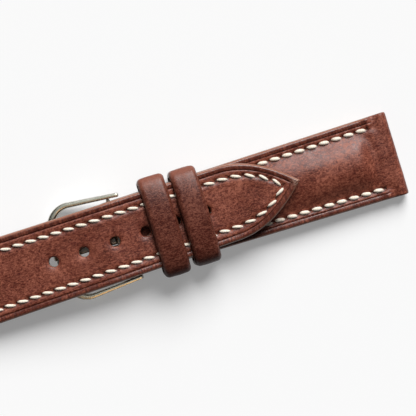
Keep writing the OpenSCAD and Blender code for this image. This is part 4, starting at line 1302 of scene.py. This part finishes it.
def felt(name, tint):
    """Needled wool felt: matt, with short crossing fibres."""
    material, tree, shader = new_material(name)
    place = add(tree, "ShaderNodeTexCoord").outputs["Object"]
    hairs = add(tree, "ShaderNodeTexNoise", {
        "Vector": place, "Scale": per_mm(0.4), "Detail": 6.0, "Roughness": 0.75, "Distortion": 2.0})
    dark = tuple(c * 0.55 for c in tint[:3]) + (1.0,)
    tree.links.new(ramp(tree, hairs, [(0.35, dark), (0.65, tint)]).outputs[0], shader.inputs["Base Color"])
    bump = add(tree, "ShaderNodeBump", {"Strength": 0.8, "Distance": 0.15 * MM, "Height": hairs})
    tree.links.new(bump.outputs[0], shader.inputs["Normal"])
    shader.inputs["Roughness"].default_value = 0.95
    shader.inputs["Sheen Weight"].default_value = 0.4
    return material


def linen(name, tint):
    """Linen thread laid in three plies and waxed: plump and pale, with a slow twist, painted shade in the
    hollows between the plies and an uneven fluffy tone.
    """
    material, tree, shader = new_material(name)
    along = add(tree, "ShaderNodeAttribute", attribute_name="lay_along").outputs["Fac"]
    round_it = add(tree, "ShaderNodeAttribute", attribute_name="lay_round").outputs["Fac"]
    turns = add(tree, "ShaderNodeMath", {0: along, 1: 3.5, 2: round_it}, operation="MULTIPLY_ADD")
    wave = add(tree, "ShaderNodeMath", {0: turns, 1: 4 * math.pi}, operation="MULTIPLY")
    plies = add(tree, "ShaderNodeMath", {0: wave}, operation="SINE")
    place = add(tree, "ShaderNodeTexCoord").outputs["Object"]
    fluff = add(tree, "ShaderNodeTexNoise", {
        "Vector": place, "Scale": per_mm(0.5), "Detail": 4.0, "Roughness": 0.7})
    mix = add(tree, "ShaderNodeMath", {0: plies, 1: 0.12, 2: fluff}, operation="MULTIPLY_ADD")
    # The dark tone falls in the hollows between the plies as painted shade, and at random with the fluff.
    dark = tuple(c * k for c, k in zip(tint[:3], (0.74, 0.64, 0.52))) + (1.0,)
    tree.links.new(ramp(tree, mix, [(0.28, dark), (0.5, tint)]).outputs[0], shader.inputs["Base Color"])
    bump = add(tree, "ShaderNodeBump", {"Strength": 0.6, "Distance": 0.08 * MM, "Height": mix})
    tree.links.new(bump.outputs[0], shader.inputs["Normal"])
    shader.inputs["Roughness"].default_value = 0.62
    shader.inputs["Sheen Weight"].default_value = 0.25
    return material


def steel(name, tint, rough, along=(1.0, 1.0, 1.0), mark_mm=0.5):
    """Stainless steel: polished to a mirror, or brushed where the marks are drawn out."""
    material, tree, shader = new_material(name)
    place = add(tree, "ShaderNodeTexCoord").outputs["Object"]
    drawn = add(tree, "ShaderNodeMapping", {"Vector": place, "Scale": along})
    marks = add(tree, "ShaderNodeTexNoise", {
        "Vector": drawn, "Scale": per_mm(mark_mm), "Detail": 2.0, "Roughness": 0.5})
    tone = add(tree, "ShaderNodeMapRange", {
        "Value": marks, "From Min": 0.3, "From Max": 0.7, "To Min": rough * 0.7, "To Max": rough * 1.4})
    tree.links.new(tone.outputs[0], shader.inputs["Roughness"])
    shader.inputs["Base Color"].default_value = tint
    shader.inputs["Metallic"].default_value = 1.0
    return material


def finish(name):
    """The named finish, made once from the colours in the panel."""
    made = bpy.data.materials.get(name)
    if made:
        return made
    c = bpy.context.scene.finish_colours
    tones = [tuple(t) for t in (c.calf_dark, c.calf, c.calf_light)]
    keeper = [(*[t[i] * (c.keeper[i] / c.calf[i]) for i in range(3)], 1.0) for t in tones]
    inside = [(*[c.lining[i] * share for i in range(3)], 1.0) for share in (0.7, 1.0, 1.3)]
    border, edge, metal = tuple(c.border), tuple(c.edge), tuple(c.steel)
    makers = {
        "calf_waxed_plated": lambda: calf(name, tones, border, 0.43),
        "calf_waxed_keeper": lambda: calf(name, keeper, border, 0.37, banded=0.12, shine=0.3),
        "calf_lining_natural": lambda: calf(name, inside, edge, 0.6, grain_mm=0.3),
        "felt_needled": lambda: felt(name, tuple(c.felt)),
        "linen_thread_waxed": lambda: linen(name, tuple(c.thread)),
        "steel_polished": lambda: steel(name, metal, 0.26, mark_mm=3.0),
        "steel_turned": lambda: steel(name, metal, 0.3, (1.0, 0.05, 1.0), 0.1),
        "steel_spring_wire": lambda: steel(name, metal, 0.35),
    }
    return makers[name]()


PAD_SKIN, PAD_RIM = 0.66, 0.12      # from the padding to the crown's foot, and its thickness there
PAD_FREE, PAD_OVER = 0.05, 0.08     # between the padding and the leather under and over it


def crown_points(lay, strap):
    """The felt padding under the crown: a low dome on a flat foot."""
    side = lay.straps[strap]
    start, total = side.pad
    foot = side.top - lay.strap.upper_t + PAD_FREE
    d = np.append(np.linspace(0, total - 4, 40), np.linspace(total - 3.6, total, 14))[:, None]
    v = np.sin(np.linspace(-1, 1, 29) * math.pi / 2)[None, :]
    d, v = np.broadcast_arrays(d, v)
    x = start + (d * (total - 2 * PAD_SKIN) / total + PAD_SKIN)
    height = np.maximum(lay.crown(d, total, v) - PAD_OVER, PAD_RIM) + foot
    y = v * (side.half(x) - lay.relief.pad_border - PAD_SKIN)
    top, low = (side.put(x.ravel(), y.ravel(), z.ravel()) for z in (height, np.full(x.shape, foot)))
    m, k = x.shape[0] - 1, x.shape[1] - 1
    at = lambda i, j, layer: layer * x.size + i * (k + 1) + j
    faces = []
    for i in range(m):
        for j in range(k):
            faces.append((at(i, j, 0), at(i + 1, j, 0), at(i + 1, j + 1, 0), at(i, j + 1, 0)))
            faces.append((at(i, j, 1), at(i, j + 1, 1), at(i + 1, j + 1, 1), at(i + 1, j, 1)))
    loop = [(i, 0) for i in range(m)] + [(m, j) for j in range(k)] + [(i, k) for i in range(m, 0, -1)] \
        + [(0, j) for j in range(k, 0, -1)]
    for a, b in zip(loop, loop[1:] + loop[:1]):
        faces.append((at(*a, 0), at(*b, 0), at(*b, 1), at(*a, 1)))
    return np.concatenate([top, low]), faces


def lug_strip_points(lay, strap):
    """The thin strip folded round the watch bar's passage, its two tails lying together."""
    s, side = lay.strap, lay.straps[strap]
    lug, height = side.lug
    turn = np.radians(np.linspace(167, -167, 44))
    tail_x = -lay.strip_start
    outside, inside = [
        [(tail_x, tail), *[(r * math.cos(a), r * math.sin(a)) for a in turn], (tail_x, -tail)]
        for r, tail in ((s.lug_bore_r + s.lug_strip_t, s.lug_strip_t), (s.lug_bore_r, 0.01))]
    loop = np.array(outside + inside[::-1])
    rings = [side.put(lug + loop[:, 0], t * (side.half(lug + loop[:, 0]) - 0.02), height + loop[:, 1])
             for t in np.linspace(-1, 1, 7)]
    points, faces = swept(rings, close_ends=False)
    q = len(loop)
    faces += [tuple(range(q))[::-1], tuple(range(6 * q, 7 * q))]
    return points, faces


# A look is a slot with the finish that goes into it.
CALF = ("leather", "calf_waxed_plated")
KEEPER = ("keeper_leather", "calf_waxed_keeper")
LINING = ("lining", "calf_lining_natural")
FELT = ("felt", "felt_needled")
STEEL = ("steel", "steel_polished")


def dress(name, built, body, look, node):
    """Makes a piece from points, faces and marks with its look, in place of a node."""
    points, faces, marks = (*built, None)[:3]
    slot, finish_name = look
    return new_piece(name, points, faces, body, slot, finish(finish_name), [node], marks)


def dress_strap(lay, strap, seed, lining, stiffener):
    """Makes a strap's five pieces: upper, lining, stiffener, padding and lug strip."""
    body = f"{strap}_strap"
    dress(f"{strap}_calf", upper_leather(lay, strap, seed), body, CALF, f"{strap}_upper")
    dress(f"{strap}_inside", lining, body, LINING, f"{strap}_lining")
    dress(f"{strap}_stiffener", stiffener, body, FELT, f"{strap}_core")
    pad = dress(f"{strap}_pad", crown_points(lay, strap), body, FELT, f"{strap}_padding")
    dress(f"{strap}_passage_strip", lug_strip_points(lay, strap), body, LINING, f"{strap}_lug_strip")


# Reflector cards that only the buckle mirrors: name, size, colour and place in metres.
CARDS = (("warm_card", 0.35, (1.0, 0.6, 0.28), (-0.03, -0.26, 0.5)),
         ("cool_card", 0.6, (0.94, 1.0, 0.93), (-0.03, 0.22, 0.6)))


class StudioSetup(bpy.types.PropertyGroup):
    """Camera and light."""
    centre_x: length(26.0, "Centre X", "Point of the table in the middle of the picture")
    centre_y: length(0.58, "Centre Y", "Point of the table in the middle of the picture")
    tilt_x: number(-0.07, "Tilt X", "Lean of the view along the strap")
    tilt_y: number(0.04, "Tilt Y", "Lean of the view across the strap")
    roll: angle(17.13, "Roll", "Turn of the strap in the picture")
    distance: length(452, "Distance", "From the table to the camera")
    lens: number(166.7, "Lens", "Focal length in mm on 36 mm", subtype="DISTANCE_CAMERA")
    key_from: FloatVectorProperty(name="Window", description="Direction of the soft window light", size=3,
                                  default=(0.34, 0.69, 0.64))
    key_spread: angle(40, "Window spread", "How wide the window light is in the sky")
    key_level: number(4.62, "Window level", "Strength of the window light")
    card_power: number(0.78, "Card power", "Power of a card", unit="POWER")
    ambient: number(0.065, "Ambient", "Light of the sky")
    bounce: number(0.06, "Bounce", "How much of its light the table throws back")
    lift: number(0.26, "Lift", "How much lighter the table's shadow is shown")


TABLE_HALF = 3.0        # half the side of the table, in metres
SENSOR = 36             # width of the camera's sensor, in mm


def paper(studio, tint):
    """Matt white paper. The camera and mirrors see a share of its colour as plain light, so its
    shadow stays pale, and all else sees a dark grey, so it throws little light on the leather."""
    material, tree, shader = new_material("paper_matt")
    seen, *others = [add(tree, "ShaderNodeLightPath").outputs[f"Is {kind} Ray"]
                     for kind in ("Camera", "Glossy", "Transmission")]
    for ray in others:
        seen = add(tree, "ShaderNodeMath", {0: seen, 1: ray}, operation="MAXIMUM")
    thrown = (*[studio.bounce] * 3, 1.0)
    kept = (*[c * (1 - studio.lift) for c in tint[:3]], 1.0)
    shown = add(tree, "ShaderNodeMix", {0: seen, 6: thrown, 7: kept}, data_type="RGBA")
    tree.links.new(shown.outputs[2], shader.inputs["Base Color"])
    glow = add(tree, "ShaderNodeMath", {0: seen, 1: studio.lift}, operation="MULTIPLY")
    tree.links.new(glow.outputs[0], shader.inputs["Emission Strength"])
    shader.inputs["Emission Color"].default_value = tint
    shader.inputs["Roughness"].default_value = 1.0
    shader.inputs["Specular IOR Level"].default_value = 0.0
    return material


def stand(name, data):
    """Adds a camera or light to the scene."""
    thing = bpy.data.objects.new(name, data)
    bpy.context.scene.collection.objects.link(thing)
    return thing


def turned_to(look):
    """The turn that points a light along a direction."""
    return look.to_track_quat("-Z", "Y").to_euler()


class STRAP_OT_stage(bpy.types.Operator):
    """Lays the pale table, and sets the soft window light, the fill and the camera"""
    bl_idname = "strap.stage"
    bl_label = "Stage"

    def execute(self, context):
        scene, studio = context.scene, context.scene.studio_setup
        mesh = bpy.data.meshes.new("table_top")
        r = TABLE_HALF
        mesh.from_pydata([(-r, -r, 0), (r, -r, 0), (r, r, 0), (-r, r, 0)], [], [(0, 1, 2, 3)])
        mesh.materials.append(paper(studio, tuple(scene.finish_colours.table)))
        table = stand("table_top", mesh)

        aim = Vector((studio.centre_x, studio.centre_y, 0))
        view = Vector((studio.tilt_x, studio.tilt_y, 1)).normalized()
        right = Vector((math.sin(studio.roll), math.cos(studio.roll), 0)).cross(view).normalized()
        camera = scene.camera = stand("camera", bpy.data.cameras.new("camera"))
        camera.data.lens, camera.data.sensor_width, camera.data.clip_start = studio.lens, SENSOR, 0.02
        camera.location = aim + view * studio.distance
        camera.rotation_euler = Matrix((right, view.cross(right), view)).transposed().to_euler()

        window = bpy.data.lights.new("window", "SUN")
        window.energy, window.angle = studio.key_level, studio.key_spread
        stand("window", window).rotation_euler = turned_to(-Vector(studio.key_from))
        polished = bpy.data.collections.new("polished_steel")
        for name, size, tint, at in CARDS:
            card = bpy.data.lights.new(name, "AREA")
            card.size, card.energy, card.color = size, studio.card_power, tint
            lamp = stand(name, card)
            lamp.location = at
            lamp.rotation_euler = turned_to(aim - lamp.location)
            lamp.visible_camera = lamp.visible_diffuse = False
            lamp.light_linking.receiver_collection = polished
        scene.world = bpy.data.worlds.new("sky_overcast")
        scene.world.use_nodes = True
        sky = scene.world.node_tree.nodes["Background"].inputs
        sky["Color"].default_value, sky["Strength"].default_value = (1, 1, 1, 1), studio.ambient
        scene.view_settings.view_transform = "Standard"
        return {"FINISHED"}


class STRAP_OT_long_leather(bpy.types.Operator):
    """Builds the long strap's upper, lining, stiffener, padding and lug strip"""
    bl_idname = "strap.long_leather"
    bl_label = "Long strap leather"

    def execute(self, context):
        lay = Layout(context.scene)
        s = lay.strap
        lining = flat_layer(lay, "long", (0, lay.s_lug - s.turn_back), (0, s.lining_t), 5, True)
        stiffener = flat_layer(lay, "long", (0, lay.s_lug - lay.strip_start),
                               (s.lining_t, lay.long_t - s.upper_t), 6, False)
        dress_strap(lay, "long", 3, lining, stiffener)
        return {"FINISHED"}


class STRAP_OT_short_leather(bpy.types.Operator):
    """Builds the short strap's upper, lining, stiffener, padding and lug strip"""
    bl_idname = "strap.short_leather"
    bl_label = "Short strap leather"

    def execute(self, context):
        lay = Layout(context.scene)
        s, k = lay.strap, lay.keeper
        low, high = s.lining_t - lay.half_t, lay.half_t - s.upper_t
        lining = flat_layer(lay, "short", (s.turn_back, lay.lug_x - s.turn_back),
                            (-lay.half_t, low), 9, True)
        # The fixed keeper passes through the stiffener, which is in two lengths.
        front, back = [flat_layer(lay, "short", span, (low, high), 10, False)[:2] for span in
                       ((lay.buckle.bar_r + RUN + FOLD_CORE, k.fixed_x - k.length / 2),
                        (k.fixed_x + k.length / 2, lay.lug_x - lay.strip_start))]
        faces = list(front[1]) + [tuple(int(i) + len(front[0]) for i in f) for f in back[1]]
        dress_strap(lay, "short", 8, lining, (np.concatenate([front[0], back[0]]), faces))
        return {"FINISHED"}


class STRAP_OT_keepers(bpy.types.Operator):
    """Builds the fixed and the free keeper"""
    bl_idname = "strap.keepers"
    bl_label = "Keepers"

    def execute(self, context):
        lay = Layout(context.scene)
        k, s = lay.keeper, lay.strap
        fixed = keeper_points(lay, k.fixed_x, k.fixed_w, s.lining_t - lay.half_t, s.short_core_t, 21)
        free = keeper_points(lay, lay.free_x, k.free_w, -lay.half_t - lay.keeper_drop, k.leather_t, 34)
        dress("fixed_loop", fixed, "short_strap", KEEPER, "fixed_keeper")
        dress("free_loop", free, "free_keeper_loop", KEEPER, "free_keeper")
        return {"FINISHED"}


SHORT_STITCH = {"Length": 2.15 * MM, "Thread": 0.98 * MM}     # the short strap's, plumper
SHORT_SLANT = 0.6       # share of the slant that they have
LOOP_SEAM_IN = 0.3      # how far the free keeper's seam lies over its lower face
LOOP_SEAM_Y = 3.0       # from the strap's middle to each row of it


class STRAP_OT_stitches(bpy.types.Operator):
    """Sews both straps and the free keeper with saddle stitches"""
    bl_idname = "strap.stitches"
    bl_label = "Saddle stitches"

    def execute(self, context):
        lay = Layout(context.scene)
        tree, slant = stitch_tree(), lay.stitch.slant
        stitch_piece(lay, "long_seam", sewn_rows(lay, "long", (1, -1)), "long_strap", ["long_thread"],
                     tree, slant)
        for side, hand in ((1, "left"), (-1, "right")):
            stitch_piece(lay, f"short_seam_{hand}", sewn_rows(lay, "short", (side,)), "short_strap",
                         [f"short_thread_{hand}"], tree, slant * SHORT_SLANT, SHORT_STITCH)
        foot = -lay.half_t - lay.keeper_drop + LOOP_SEAM_IN
        x, y = np.array([(lay.free_x + end * lay.stitch.pitch / 2, side * LOOP_SEAM_Y)
                         for side in (-1, 1) for end in (-1, 1)]).T
        at, ahead, above = (lay.on_table(x + dx, y, np.full(4, foot + dz))
                            for dx, dz in ((0, 0), (1, 0), (0, 1)))
        stitch_piece(lay, "free_loop_seam", (at, ahead - at, at - above), "free_keeper_loop",
                     ["free_keeper_thread"], tree, 0.0)
        return {"FINISHED"}


class STRAP_OT_buckle(bpy.types.Operator):
    """Builds the buckle's frame and tongue"""
    bl_idname = "strap.buckle"
    bl_label = "Buckle"

    def execute(self, context):
        lay = Layout(context.scene)
        bow = dress("buckle_bow", frame_points(lay), "buckle", STEEL, "buckle_frame")
        bpy.data.collections["polished_steel"].objects.link(bow)
        dress("tongue_pin", tongue_points(lay), "tongue", STEEL, "buckle_tongue")
        return {"FINISHED"}


class STRAP_OT_spring_bar(bpy.types.Operator):
    """Gives the bar's tube, plungers and spring their finishes"""
    bl_idname = "strap.spring_bar"
    bl_label = "Spring bar"

    def execute(self, context):
        for node, name in (("bar_tube", "steel_turned"), ("bar_plunger_left", "steel_turned"),
                           ("bar_plunger_right", "steel_turned"), ("bar_spring", "steel_spring_wire")):
            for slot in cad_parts[node].material_slots:
                slot.material = finish(name)
        return {"FINISHED"}


class STRAP_PT_panel(bpy.types.Panel):
    """The sizes and colours of the strap, and the steps that build it"""
    bl_idname = "STRAP_PT_panel"
    bl_label = "Watch strap"
    bl_space_type = "VIEW_3D"
    bl_region_type = "UI"
    bl_category = "Strap"

    def draw(self, context):
        for step in STEPS:
            self.layout.operator(step.bl_idname)
        for label in GROUPS:
            box = self.layout.box()
            box.label(text=label.replace("_", " ").capitalize())
            group = getattr(context.scene, label)
            for name in group.bl_rna.properties.keys():
                if name not in ("rna_type", "name"):
                    box.prop(group, name)


STEPS = (STRAP_OT_stage, STRAP_OT_long_leather, STRAP_OT_short_leather, STRAP_OT_keepers,
         STRAP_OT_stitches, STRAP_OT_buckle, STRAP_OT_spring_bar)
GROUPS = {"strap_sizes": StrapSizes, "relief_sizes": ReliefSizes, "stitch_sizes": StitchSizes,
          "keeper_sizes": KeeperSizes, "buckle_sizes": BuckleSizes, "finish_colours": FinishColours,
          "studio_setup": StudioSetup}


def register():
    for cls in (*GROUPS.values(), *STEPS, STRAP_PT_panel):
        bpy.utils.register_class(cls)
    for label, cls in GROUPS.items():
        setattr(bpy.types.Scene, label, PointerProperty(type=cls))


def unregister():
    for label in GROUPS:
        delattr(bpy.types.Scene, label)
    for cls in reversed((*GROUPS.values(), *STEPS, STRAP_PT_panel)):
        bpy.utils.unregister_class(cls)


def main():
    """Runs every step in order."""
    register()
    bpy.ops.strap.stage()
    bpy.ops.strap.long_leather()
    bpy.ops.strap.short_leather()
    bpy.ops.strap.keepers()
    bpy.ops.strap.stitches()
    bpy.ops.strap.buckle()
    bpy.ops.strap.spring_bar()


if __name__ == "__main__":
    main()
